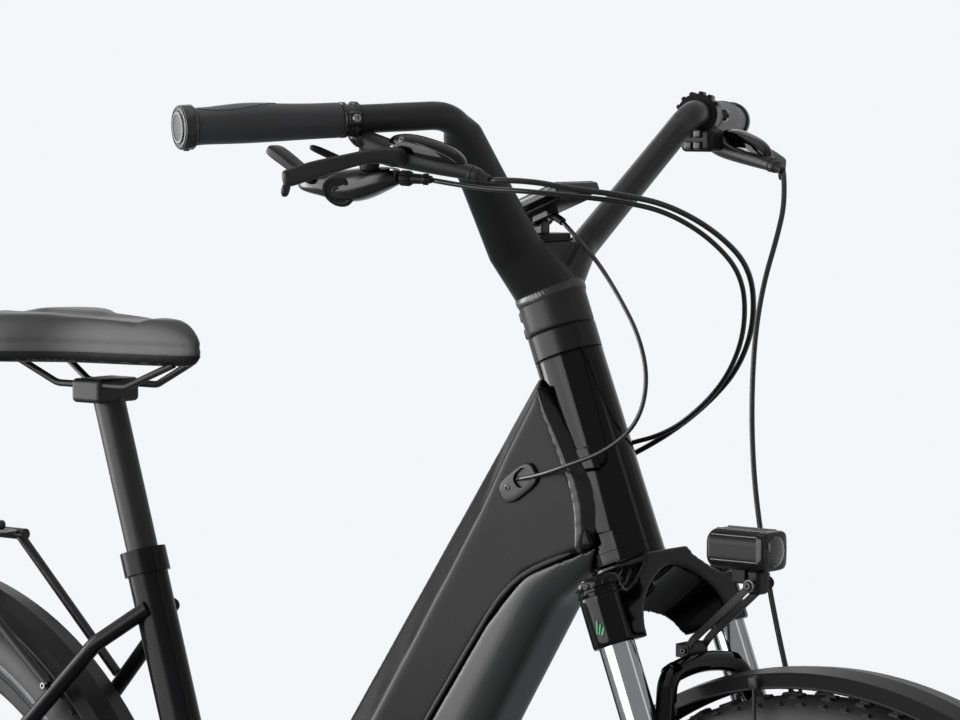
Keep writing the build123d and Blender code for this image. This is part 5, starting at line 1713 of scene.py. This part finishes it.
@dataclass
class Headlight(Assembly):
    """The headlight on its two-strip arm.

    Attributes:
        front: Where its face stands along X, in millimetres.
        level: How high its middle is, in millimetres.
        pivot: The tilt bolt, in X and Z.
    """

    front: float = 517.0
    level: float = 816.5
    pivot: tuple[float, float] = (500.6, 786.9)

    def case(self) -> None:
        """The ribs on the case and the bezel round its face."""
        ribs = []
        for y, z in ((-9.0, 17.4), (8.0, 17.4), (-17.2, 13.0), (17.2, 13.0), (-19.3, -8.5), (19.3, -8.5)):
            ribs.append(Bench.wire("rib", [mm(x, y, self.level + z) for x in (463, 475, 500, 513)], 0.0009, 3))
        sections = ((-6.0, 0.0196, 0.0174), (-2.0, 0.0196, 0.0174), (-0.2, 0.0188, 0.0167),
                    (0.6, 0.0176, 0.0156), (0.7, 0.0120, 0.0110))
        bezel = Bench.lofted("bezel", [oval(mm(self.front + x, 0, self.level), (0, 1, 0), (0, 0, 1), a, b, 5.0, 48)
                                       for x, a, b in sections])
        well = Bench.turned("well", [(-0.0090, 0.0060), (-0.0050, 0.0110), (0.0040, 0.0136)], 48)
        Bench.cut(bezel, Bench.place(well, frame_at(mm(self.front, 0, self.level), (1, 0, 0), (0, 0, 1))))
        self.fit(Bench.join("headlight_ribs", ribs), "black_plastic", "steering", finish="rib_gloss")
        self.fit(bezel, "gloss_plastic", "steering", finish="tank_gloss")

    def optics(self) -> None:
        """The bowl with its vanes, and the lens over it."""
        face = frame_at(mm(self.front - 4.2, 0, self.level), (1, 0, 0), (0, 0, 1))
        cups = [Bench.spun("cup", [(0.0036, -0.0030), (0.0082, 0.0000), (0.0112, 0.0034), (0.0127, 0.0046),
                                   (0.0131, 0.0042), (0.0112, 0.0010), (0.0036, -0.0044)], 48)]
        for turn in (65.0, 185.0, 305.0):
            vane = Bench.block("vane", (0.0100, 0.0008, 0.0044), 0.0002)
            cups.append(Bench.place(vane, Matrix.Rotation(math.radians(turn), 4, "Z")
                                    @ Matrix.Translation((0.0062, 0.0, 0.0010))))
        self.fit(Bench.place(Bench.join("headlight_mirror", cups), face), "chrome", "steering",
                 finish="mirror_bowl")
        lens = Bench.turned("headlight_lens", [(0.0040, 0.0136), (0.0054, 0.0134), (0.0066, 0.0112),
                                               (0.0076, 0.0070), (0.0080, 0.0030), (0.0080, TIP)], 48)
        self.fit(Bench.place(lens, face), "gloss_plastic", "steering", finish="lens_clear")

    def bolts(self) -> None:
        """The tilt bolt's two heads with their washers, and the bolts at the arm's foot."""
        bolts = []
        for side in (-1, 1):
            at = mm(self.pivot[0], side * 14.6, self.pivot[1])
            bolts += [screw(at, (0, side, 0), 0.0034, 0.0030),
                      screw(mm(432, side * 14.2, 724), (0, side, 0), 0.0028, 0.0026)]
            bolts.append(Bench.place(Bench.spun("washer", [(0.0040, 0.0), (0.0056, 0.0), (0.0056, 0.0010),
                                                           (0.0040, 0.0012)], 32),
                                     frame_at(at, (0, side, 0), (0, 0, 1))))
        self.fit(Bench.join("headlight_bolts", bolts), "satin_black", "steering", finish="bolt_black")

    def build(self) -> None:
        """Make every piece of the headlight."""
        self.case()
        self.optics()
        self.bolts()


@dataclass
class Screen(Assembly):
    """The display between the bar's legs and the remote by the left grip."""

    def display(self) -> None:
        """The display's glass, side trims and mount with its plug."""
        slab = frame_at(mm(269, 0, 1113), STEER_UP, (1, 0, 0))
        glass = Bench.block("glass", (0.0700, 0.0560, 0.0022), 0.0009)
        self.fit(Bench.place(glass, slab @ Matrix.Translation((0, 0, 0.0052))), "gloss_plastic", "steering",
                 finish="tank_gloss")
        trims = [Bench.place(Bench.block("trim", (0.0700, 0.0014, 0.0030), 0.0006),
                             slab @ Matrix.Translation((0, y, 0.0022))) for y in (-0.0306, 0.0306)]
        self.fit(Bench.join("display_trim", trims), "gloss_plastic", "steering", finish="badge_grey")
        under = [Bench.place(Bench.block("tray", (0.0580, 0.0460, 0.0050), 0.0020),
                             slab @ Matrix.Translation((0.002, 0, -0.0070))),
                 Bench.place(Bench.turned("knuckle", [(-0.0125, 0.0070), (-0.0120, 0.0084), (0.0120, 0.0084),
                                                      (0.0125, 0.0070), (0.0125, TIP)], 40),
                             frame_at(mm(259, 0, 1099), (0, 1, 0), (0, 0, 1))),
                 Bench.wire("plug", [mm(268, -6, 1102), mm(276, -6, 1101.5), mm(284, -6.2, 1100),
                                     mm(292, -6.8, 1095)], 0.0036, 5)]
        for y in (-0.011, 0.011):
            under.append(screw(mm(259, y * 1000, 1099), (0, math.copysign(1, y), 0), 0.0034, 0.003))
        self.fit(Bench.join("display_mount", under), "black_plastic", "steering")

    def remote(self) -> None:
        """The remote's ribs and keys."""
        at = BAR_BEND + BAR_DIR * 0.041
        at = Vector((at.x, -at.y, at.z))
        ribs = []
        for index in range(7):
            rib = Bench.block("rib", (0.0044, 0.0040, 0.0230), 0.0014)
            turn = Matrix.Rotation(math.radians(-60 + index * 26), 4, "Z")
            turn = turn @ Matrix.Translation((0.0, 0.0194, 0.043))
            ribs.append(Bench.place(Bench.place(rib, bar_frame(0.0) @ turn), MIRROR.copy()))
        self.fit(Bench.join("remote_ribs", ribs), "black_plastic", "steering")
        keys = [Bench.place(Bench.block("key", (0.0085, 0.0075, 0.0030), 0.0012),
                            Matrix.Translation(at + mm(dx, -12.6, dz)) @ Matrix.Rotation(math.radians(90), 4, "X"))
                for dx, dz in ((-3.5, -18.0), (7.5, -18.0), (-3.5, -29.0), (7.5, -29.0))]
        self.fit(Bench.join("remote_keys", keys), "black_plastic", "steering", finish="case_gloss")

    def build(self) -> None:
        """Make the pieces of both."""
        self.display()
        self.remote()


@dataclass
class Wheels(Assembly):
    """Tyres with their tread, valves, spoke nipples, end caps and mudguard stays.

    Attributes:
        outline: The tyre's section: radius and Y, in millimetres.
        rows: Tread blocks: how many round the tyre, their Y, half width and half length, in millimetres.
    """

    outline: tuple[tuple[float, float], ...] = (
        (296.4, 14.6), (300.0, 17.0), (306.0, 22.0), (314.0, 26.2), (322.0, 27.9), (330.0, 27.2), (337.0, 23.8),
        (342.5, 18.0), (345.9, 11.0), (347.2, 4.0))
    rows: tuple[tuple[int, float, float, float], ...] = (
        (64, 4.4, 2.9, 6.4), (64, 12.0, 3.0, 5.6), (96, 20.4, 2.6, 3.6))

    def tyre(self, word: str, axle: Vector) -> None:
        """A tyre with side bands and three rows of blocks on each side.

        Args:
            word: Which wheel.
            axle: Its axle.
        """
        across = facing(axle)
        skin = [(r / 1000, y / 1000) for r, y in self.outline]
        skin = skin + [(r, -y) for r, y in reversed(skin)] + [(0.2964, -0.011), (0.2964, 0.011)]
        body = Bench.spun("body", skin, 128)
        bands = []
        for side in (-1, 1):
            bands.append(Bench.spun("band", [(r, side * y) for r, y in (
                (0.3088, 0.0238), (0.3096, 0.0247), (0.3150, 0.0270), (0.3158, 0.0266), (0.3120, 0.0240))], 128))
        crown = [(half, r) for r, half in reversed(self.outline)]
        blocks = []
        for count, y, wide, long in self.rows:
            radius, inner, outer = (between(crown, at)[0] for at in (y, y - 1.5, y + 1.5))
            lean = math.atan2(inner - outer, 3.0)
            block = Bench.block("block", (0.0028, wide / 500, long / 500), 0.0)
            with editing(block):
                Bench.pick(block, lambda middle, normal: normal.x > 0.9)
                bpy.ops.transform.resize(value=(1.0, 0.80, 0.84))
            frames = []
            for index in range(count):
                for side in (-1, 1):
                    turn = FULL_TURN * (index + (0.5 if side > 0 else 0.0)) / count
                    place = Matrix.Translation((radius / 1000 + 0.0008, 0.0, side * y / 1000))
                    tilt = Matrix.Rotation(side * lean, 4, "Y") @ Matrix.Rotation(math.radians(side * 14), 4, "X")
                    frames.append(Matrix.Rotation(turn, 4, "Z") @ place @ tilt
                                  @ Matrix.Rotation(math.pi / 2, 4, "X"))
            blocks += Bench.strewn(block, frames)
        tyre = Bench.place(Bench.join(f"{word}_tyre_treaded", [body] + blocks), across)
        self.fit(tyre, "tyre_rubber", f"{word}_wheel", f"{word}_tyre")
        self.fit(Bench.place(Bench.join(f"{word}_tyre_bands", bands), across), "tyre_rubber", f"{word}_wheel",
                 finish="reflex_band")

    def small(self, word: str, axle: Vector, count: int, flanges: tuple[float, float],
              caps: tuple[float, float], disc: float) -> None:
        """Nipples, valve, disc bolts, end caps and the hub's lips.

        Args:
            word: Which wheel.
            axle: Its axle.
            count: How many spokes it has.
            flanges: Y of the hub's flanges, in millimetres.
            caps: How far out its two end caps are, in millimetres.
            disc: Y of the brake disc's bolts, in metres.
        """
        across = facing(axle)
        nipple = Bench.turned("nipple", [(0.0, 0.0020), (0.0090, 0.0018), (0.0100, 0.0013)], 8)
        frames = []
        for index in range(count):
            side = 1 if index % 2 else -1
            turn = Matrix.Rotation(-FULL_TURN * index / count, 4, "Z")
            stand = frame_at((0.2775, 0.0, side * 0.0021), (-1.0, 0.0, side * 0.10), (0, 1, 0))
            frames.append(across @ turn @ stand)
        nipples = Bench.strewn(nipple, frames)
        valve = Bench.turned("valve", [(0.0, 0.0034), (0.0016, 0.0034), (0.0020, 0.0026), (0.0220, 0.0026),
                                       (0.0230, 0.0034), (0.0330, 0.0034), (0.0345, 0.0020)], 20)
        spin = Matrix.Rotation(math.radians(-96.0), 4, "Z")
        nipples.append(Bench.place(valve, across @ spin @ frame_at((0.2760, 0.0, 0.0), (-1, 0, 0), (0, 1, 0))))
        self.fit(Bench.join(f"{word}_nipples", nipples), "steel", f"{word}_wheel")
        bolts = []
        for index in range(6):
            at = around(axle, 0.0270, math.radians(60 * index + 14), disc)
            bolts.append(screw(at, (0, 1, 0), 0.0030, 0.0022))
        for side, y in ((-1, caps[0]), (1, caps[1])):
            cap = Bench.turned("cap", [(-0.0030, 0.0105), (-0.0004, 0.0105), (0.0006, 0.0098), (0.0006, 0.0066)],
                               40)
            bolts.append(Bench.place(cap, facing(axle, side * y / 1000, side)))
        for flange in flanges:
            bolts.append(Bench.place(Bench.spun("lip", [(0.0292, -0.0012), (0.0304, -0.0008), (0.0304, 0.0008),
                                                        (0.0292, 0.0012)], 56),
                                     across @ Matrix.Translation((0, 0, flange / 1000))))
        self.fit(Bench.join(f"{word}_hub_bolts", bolts), "steel", f"{word}_wheel", finish="bolt_steel")

    def guards(self) -> None:
        """The mudguards' wire stays with their clips and screws."""
        for body, axle, angles, foot, out in (("steering", FRONT_AXLE, (100, 158), (0.0, 9.0), 0.078),
                                              ("frame", REAR_AXLE, (128, 180), (10.0, 12.0), 0.083)):
            parts = []
            for angle in angles:
                turn = math.radians(angle)
                for side in (-1, 1):
                    rim = around(axle, 0.3620, turn, side * 0.0318)
                    low = axle + Vector((foot[0] / 1000 * (1 if angle < 120 else -1), side * out, foot[1] / 1000))
                    mid = low.lerp(rim, 0.45)
                    mid.y = side * out
                    parts.append(Bench.wire("stay", [low, mid, rim.lerp(mid, 0.12), rim], 0.0017, 3))
                    clip = Bench.block("clip", (0.0100, 0.0060, 0.0120), 0.0018)
                    parts.append(Bench.place(clip, frame_at(rim, (math.cos(turn), 0, math.sin(turn)),
                                                            (-math.sin(turn), 0, math.cos(turn)))))
                    parts.append(screw(low + Vector((0, side * 0.001, 0)), (0, side, 0), 0.0038, 0.0028))
            self.fit(Bench.join(f"{body}_guard_stays", parts), "satin_black", body)

    def build(self) -> None:
        """Make the pieces of both wheels."""
        self.tyre("front", FRONT_AXLE)
        self.tyre("rear", REAR_AXLE)
        self.small("front", FRONT_AXLE, 28, (-30.0, 30.0), (46.0, 46.0), 0.0391)
        self.small("rear", REAR_AXLE, 32, (-23.0, 33.0), (66.0, 68.0), 0.0471)
        self.guards()


@dataclass
class DriveTrain(Assembly):
    """The chain's links, the teeth, the crank's bolts and the pedals' pins.

    Attributes:
        ring_radius: Pitch radius of the chainring, in millimetres.
        cog_radii: Radii of the cogs, from the inner one out, in millimetres.
        cog_y: Where the inner cog lies, in millimetres.
        cog_step: How far the cogs are apart, in millimetres.
        chain_y: Where the chain runs, in millimetres.
        pitch: From one of its pins to the next, in metres.
        pedal_y: How far out the pedals' middles are, in millimetres.
        pedal_z: How high they are at rest, in millimetres.
    """

    ring_radius: float = 77.0
    cog_radii: tuple[float, ...] = (85, 75, 66, 57, 49, 42, 35, 29.5, 23)
    cog_y: int = -30
    cog_step: int = 4
    chain_y: float = -58.0
    pitch: float = 0.0127
    pedal_y: float = 147.0
    pedal_z: float = 300.0

    def toothed(self, name: str, root: float, teeth: int, tall: float, thick: float,
                bore: float) -> bpy.types.Object:
        """A flat ring with teeth, about Z.

        Args:
            name: Its name.
            root: Radius at the teeth's feet, in metres.
            teeth: How many.
            tall: Their height.
            thick: The ring's thickness.
            bore: Radius of its hole.

        Returns:
            The ring.
        """
        outline = []
        for index in range(teeth):
            for share, lift in ((0.0, 0.0), (0.30, 0.0), (0.45, 0.9), (0.55, 1.0), (0.65, 0.9), (0.80, 0.0)):
                turn = FULL_TURN * (index + share) / teeth
                radius = root + tall * lift
                outline.append((radius * math.cos(turn), radius * math.sin(turn)))
        piece = Bench.plate(name, outline, thick)
        hole = Bench.turned("hole", [(-0.01, bore), (0.02, bore)], 48)
        Bench.cut(piece, hole)
        return Bench.place(piece, Matrix.Translation((0, 0, -thick / 2)))

    def cogs(self) -> None:
        """The cassette's cogs and lock ring, the chainring's teeth and the crank's bolts."""
        parts = []
        for index, radius in enumerate(self.cog_radii):
            y = self.cog_y - self.cog_step * index
            across = facing(REAR_AXLE, y / 1000)
            under_chain = abs(y - self.chain_y) < 2
            root, tall = (20.2, 3.4) if under_chain else (radius - 4.5, 4.8)
            teeth = round(radius * FULL_TURN / (self.pitch * 1000))
            cog = self.toothed("cog", root / 1000, teeth, tall / 1000, 0.0015,
                               (radius - 15) / 1000 if radius > 40 else 0.017)
            if radius > 40:
                for arm in range(6):
                    spoke = Bench.block("arm", ((radius - 30) / 1000, 0.007, 0.0015), 0.0)
                    turn = Matrix.Rotation(math.radians(60 * arm + index * 9), 4, "Z")
                    parts.append(Bench.place(spoke, across @ turn
                                             @ Matrix.Translation(((radius + 4) / 2000, 0, 0))))
            parts.append(Bench.place(cog, across))
        lock = Bench.turned("lock", [(-0.036, 0.0195), (0.002, 0.0195), (0.003, 0.0185), (0.003, 0.0140),
                                     (0.0, 0.0130), (0.0, 0.0068)], 40)
        parts.append(Bench.place(lock, facing(REAR_AXLE, -0.0630, -1)))
        self.fit(Bench.join("cassette_toothed", parts), "steel", "rear_wheel", "cassette")
        across = facing(CRANK_AXIS, self.chain_y / 1000)
        ring = self.toothed("chainring_teeth", (self.ring_radius - 8.4) / 1000, 38, 0.0042, 0.0015, 0.0620)
        self.fit(Bench.place(ring, across), "satin_black", "crank", finish="bolt_black")
        bolts = [screw(around(CRANK_AXIS, 0.067, math.radians(72 * index), -0.067), (0, -1, 0), 0.0044, 0.0014)
                 for index in range(5)]
        for side in (-1, 1):
            hub = Bench.turned("hub", [(-0.001, 0.0145), (0.0012, 0.0145), (0.0020, 0.0132), (0.0020, 0.0092),
                                       (0.0005, 0.0088), (0.0005, 0.0052), (-0.0020, 0.0050), (-0.0020, TIP)], 40)
            bolts.append(Bench.place(hub, facing(CRANK_AXIS, side * 0.0918, side)))
        self.fit(Bench.join("crank_bolts", bolts), "steel", "crank", finish="bolt_steel")

    def links(self) -> None:
        """The chain's plates along its loop, and its rollers, which are split so that a ring can turn between."""
        middle = [(CRANK_AXIS, self.ring_radius / 1000, 1), (REAR_AXLE, 0.028, 1), (GUIDE_PULLEY, 0.019, -1),
                  (TENSION_PULLEY, 0.019, 1)]
        path: list[Vector] = []
        for (c1, r1, s1), (c2, r2, s2) in zip(middle, middle[1:] + middle[:1]):
            span = c2 - c1
            reach = math.hypot(span.x, span.z)
            angle = math.atan2(span.z, span.x) + math.acos((-r1 * s1 + r2 * s2) / reach)
            way = Vector((math.cos(angle), 0.0, math.sin(angle)))
            path += [c1 - way * r1 * s1, c2 - way * r2 * s2]
        line: list[Vector] = []
        for index, (centre, radius, sense) in enumerate(middle):
            start, end = path[2 * index - 1], path[2 * index]
            a1 = math.atan2(start.z - centre.z, start.x - centre.x)
            a2 = math.atan2(end.z - centre.z, end.x - centre.x)
            while sense > 0 and a2 < a1:
                a2 += FULL_TURN
            while sense < 0 and a2 > a1:
                a2 -= FULL_TURN
            steps = max(6, int(abs(a2 - a1) * radius / 0.003))
            line += [around(centre, radius, a1 + (a2 - a1) * step / steps) for step in range(steps + 1)]
        lengths = [(b - a).length for a, b in zip(line, line[1:] + line[:1])]
        count = 2 * round(sum(lengths) / (2 * self.pitch))
        pins, walked, index = [], 0.0, 0
        for number in range(count):
            goal = number * sum(lengths) / count
            while walked + lengths[index] < goal:
                walked += lengths[index]
                index += 1
            share = (goal - walked) / lengths[index]
            pins.append(line[index].lerp(line[(index + 1) % len(line)], share))
        half = [(0.0042 * math.cos(math.radians(a)), 0.0042 * math.sin(math.radians(a)))
                for a in range(90, 271, 45)]
        outline = [*half, (-0.0002, -0.0030), (0.0129, -0.0030),
                   *((self.pitch - x, -y) for x, y in half), (0.0129, 0.0030), (-0.0002, 0.0030)]
        plate = Bench.plate("link", outline, 0.0008)
        roller = Bench.turned("roller", [(0.00135, TIP), (0.00135, 0.0037), (0.0016, 0.0037), (0.0017, 0.0018),
                                         (0.0032, 0.0016), (0.0032, TIP)], 10)
        plates, rollers = [], []
        for number, pin in enumerate(pins):
            ahead = pins[(number + 1) % count] - pin
            frame = frame_at(pin + Vector((0, self.chain_y / 1000, 0)), (0, 1, 0), ahead)
            for side in (-1, 1):
                shift = side * (0.0027 if number % 2 else 0.0019) - 0.0004
                plates.append(frame @ Matrix.Translation((0, 0, shift)))
            rollers += [frame, frame @ Matrix.Rotation(math.pi, 4, "X")]
        parts = Bench.strewn(plate, plates) + Bench.strewn(roller, rollers)
        piece = Bench.join("chain_links", parts)
        LOG.info("%d links", count)
        self.fit(piece, "steel", "frame", "chain")

    def pedals(self) -> None:
        """Grip pins and reflectors on the pedals."""
        for side, x, word in ((-1, 73.0, "right"), (1, -267.0, "left")):
            pins, glass = [], []
            for dx in (-44, -14, 14, 44):
                for dy in (-38, 38):
                    for up in (-1, 1):
                        at = mm(x + dx * 0.93, side * (self.pedal_y + dy), self.pedal_z + up * 9.8)
                        pins.append(screw(at, (0, 0, up), 0.0021, 0.0022))
            for fore in (-1, 1):
                lens = Bench.block("lens", (0.0024, 0.0560, 0.0120), 0.0008)
                at = mm(x + fore * 48.6, side * self.pedal_y, self.pedal_z)
                glass.append(Bench.place(lens, Matrix.Translation(at)))
            self.fit(Bench.join(f"pedal_pins_{word}", pins), "steel", f"pedal_{word}", finish="bolt_steel")
            self.fit(Bench.join(f"pedal_glass_{word}", glass), "red_lens", f"pedal_{word}", finish="amber_lens")

    def build(self) -> None:
        """Make every piece of the drive train."""
        self.cogs()
        self.links()
        self.pedals()


@dataclass
class Rear(Assembly):
    """The saddle, the rack's fittings, the rear light and the motor's covers."""

    def saddle(self) -> None:
        """The padded saddle: a soft crowned cover over a hard base, with a sewn edge."""
        piece = self.cast("saddle", "saddle_pad", 0.0032, 10)
        low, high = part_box("saddle")
        middle = (low[2] + high[2]) / 2
        with editing(piece):
            Bench.pick(piece, lambda place, normal: normal.z > 0.5 and abs(place.y) < 0.013
                       and low[0] + 0.045 < place.x < high[0] - 0.075)  # the groove along the middle
            bpy.ops.transform.translate(value=(0.0, 0.0, -0.0036), use_proportional_edit=True,
                                        proportional_edit_falloff="SMOOTH", proportional_size=0.016)
            Bench.pick(piece, lambda place, normal: normal.z > 0.3 and place.x < low[0] + 0.10
                       and 0.030 < abs(place.y) < 0.058)  # the two wings at the back
            bpy.ops.transform.translate(value=(0.0, 0.0, 0.0022), use_proportional_edit=True,
                                        proportional_edit_falloff="SMOOTH", proportional_size=0.03)
            Bench.pick(piece, lambda place, normal: abs(place.z - (middle - 0.004)) < 0.0018
                       and abs(normal.z) < 0.75)  # the sewn edge
            bpy.ops.transform.shrink_fatten(value=-0.0010)
        Bench.modifier(piece, "SMOOTH", factor=0.4, iterations=2)
        self.fit(piece, "saddle_cover", "frame", "saddle", angle=70.0)
        base = self.cast("saddle", "saddle_base", 0.0036, 6)
        with editing(base):
            bpy.ops.mesh.select_all(action="SELECT")
            bpy.ops.mesh.bisect(plane_co=(0.0, 0.0, low[2] + 0.0115), plane_no=(0.0, 0.0, 1.0), use_fill=True,
                                clear_outer=True)
            bpy.ops.mesh.select_all(action="SELECT")
            bpy.ops.transform.resize(value=(1.006, 1.012, 1.0),
                                     center_override=((low[0] + high[0]) / 2, 0.0, low[2]))
        self.fit(base, "black_plastic", "frame", angle=60.0)

    def rack(self) -> None:
        """The rack's bolts and sprung clip, the seat collar's bolts, and the rear light."""
        bolts = []
        for side in (-1, 1):
            for x, y, z in ((-568, 84.6, 372), (-576, 84.6, 366), (-322, 54.0, 622), (-620, 64.6, 744),
                            (-700, 64.6, 744)):
                bolts.append(screw(mm(x, side * y, z), (0, side, 0), 0.0036, 0.003))
            bolts.append(screw(mm(-236, side * 12, 742 if side < 0 else 736), (-0.3, side, 0), 0.0030, 0.004))
        self.fit(Bench.join("rack_bolts_heads", bolts), "steel", "frame", finish="bolt_steel")
        hoop = []
        for side in (-1, 1):
            bends = ((-470, 20, 766), (-520, 34, 772), (-640, 38, 773), (-720, 34, 772), (-736, 16, 771),
                     (-738, 0, 771))
            hoop.append(Bench.wire("hoop", [mm(x, side * y, z) for x, y, z in bends], 0.0028, 4))
        hoop.append(Bench.wire("spring", [mm(-468, -30, 764), mm(-466, 0, 766), mm(-468, 30, 764)], 0.0052, 5))
        self.fit(Bench.join("rack_clip", hoop), "satin_black", "frame")
        lens = [Bench.place(Bench.block("lens", (0.0050, 0.0740, 0.0250), 0.0020),
                            Matrix.Translation(mm(-822.4, 0, 748)))]
        for y in range(-30, 31, 6):
            lens.append(Bench.place(Bench.block("fin", (0.0012, 0.0016, 0.0200), 0.0004),
                                    Matrix.Translation(mm(-825.2, y, 748))))
        self.fit(Bench.join("rear_lens", lens), "red_lens", "frame")
        shell = Bench.block("rear_light_case", (0.0160, 0.0860, 0.0365), 0.0050, 3)
        self.fit(Bench.place(shell, Matrix.Translation(mm(-810.0, 0, 748))), "black_plastic", "frame")

    def motor(self) -> None:
        """The motor's side covers with their seams, bolts and the charging flap."""
        for side, word in ((-1, "right"), (1, "left")):
            disc = Bench.turned("disc", [(-0.0010, 0.0500), (0.0008, 0.0500), (0.0022, 0.0488), (0.0024, 0.0400),
                                         (0.0016, 0.0392), (0.0016, 0.0300), (0.0026, 0.0290),
                                         (0.0026, 0.0180)], 72)
            parts = [Bench.place(disc, facing(CRANK_AXIS, side * 0.0455, side))]
            for turn in range(30, 390, 60):
                at = around(CRANK_AXIS, 0.0455, math.radians(turn), side * 0.0474)
                parts.append(screw(at, (0, side, 0), 0.0026, 0.0014))
            rib = Bench.wire("rib", [mm(-140, side * 44.2, 385), mm(-60, side * 44.2, 388),
                                     mm(20, side * 44.2, 386), mm(104, side * 44.2, 410)], 0.0012, 3)
            self.fit(Bench.join(f"motor_cover_{word}", parts + [rib]), "black_plastic", "frame",
                     finish="case_gloss")
        flap = Bench.lofted("flap", [oval(mm(60, 42 + z, 548), (0.56, 0, 0.83), (-0.83, 0, 0.56), a, b, 3.0, 32)
                                     for a, b, z in ((0.020, 0.012, -0.5), (0.020, 0.012, 1.4), (0.019, 0.011, 2.0),
                                                     (0.010, 0.005, 2.2))])
        self.fit(flap, "black_plastic", "frame")

    def build(self) -> None:
        """Make every piece at the back."""
        self.saddle()
        self.rack()
        self.motor()


MAKERS: tuple[type[Assembly], ...] = (
    Handlebar, Grip, BrakeLever, Shifter, Beam, Fork, Headlight, Screen, Wheels, DriveTrain, Rear)


def main() -> None:
    """Build the dressed bicycle."""
    logging.basicConfig(level=logging.INFO, format="%(message)s")
    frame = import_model()
    bpy.ops.object.select_all(action="DESELECT")
    studio = Studio()
    studio.camera()
    wardrobe = Wardrobe()
    CordSet(wardrobe).build()
    slots = {entry["node"]: entry["material_slot"] for entry in frame["record"]["subparts"]}
    for name, node in frame["nodes"].items():
        wardrobe.dress(node, slots[name])
    for maker in MAKERS:
        maker(wardrobe, frame["nodes"]).build()
    studio.build()


if __name__ == "__main__":
    main()
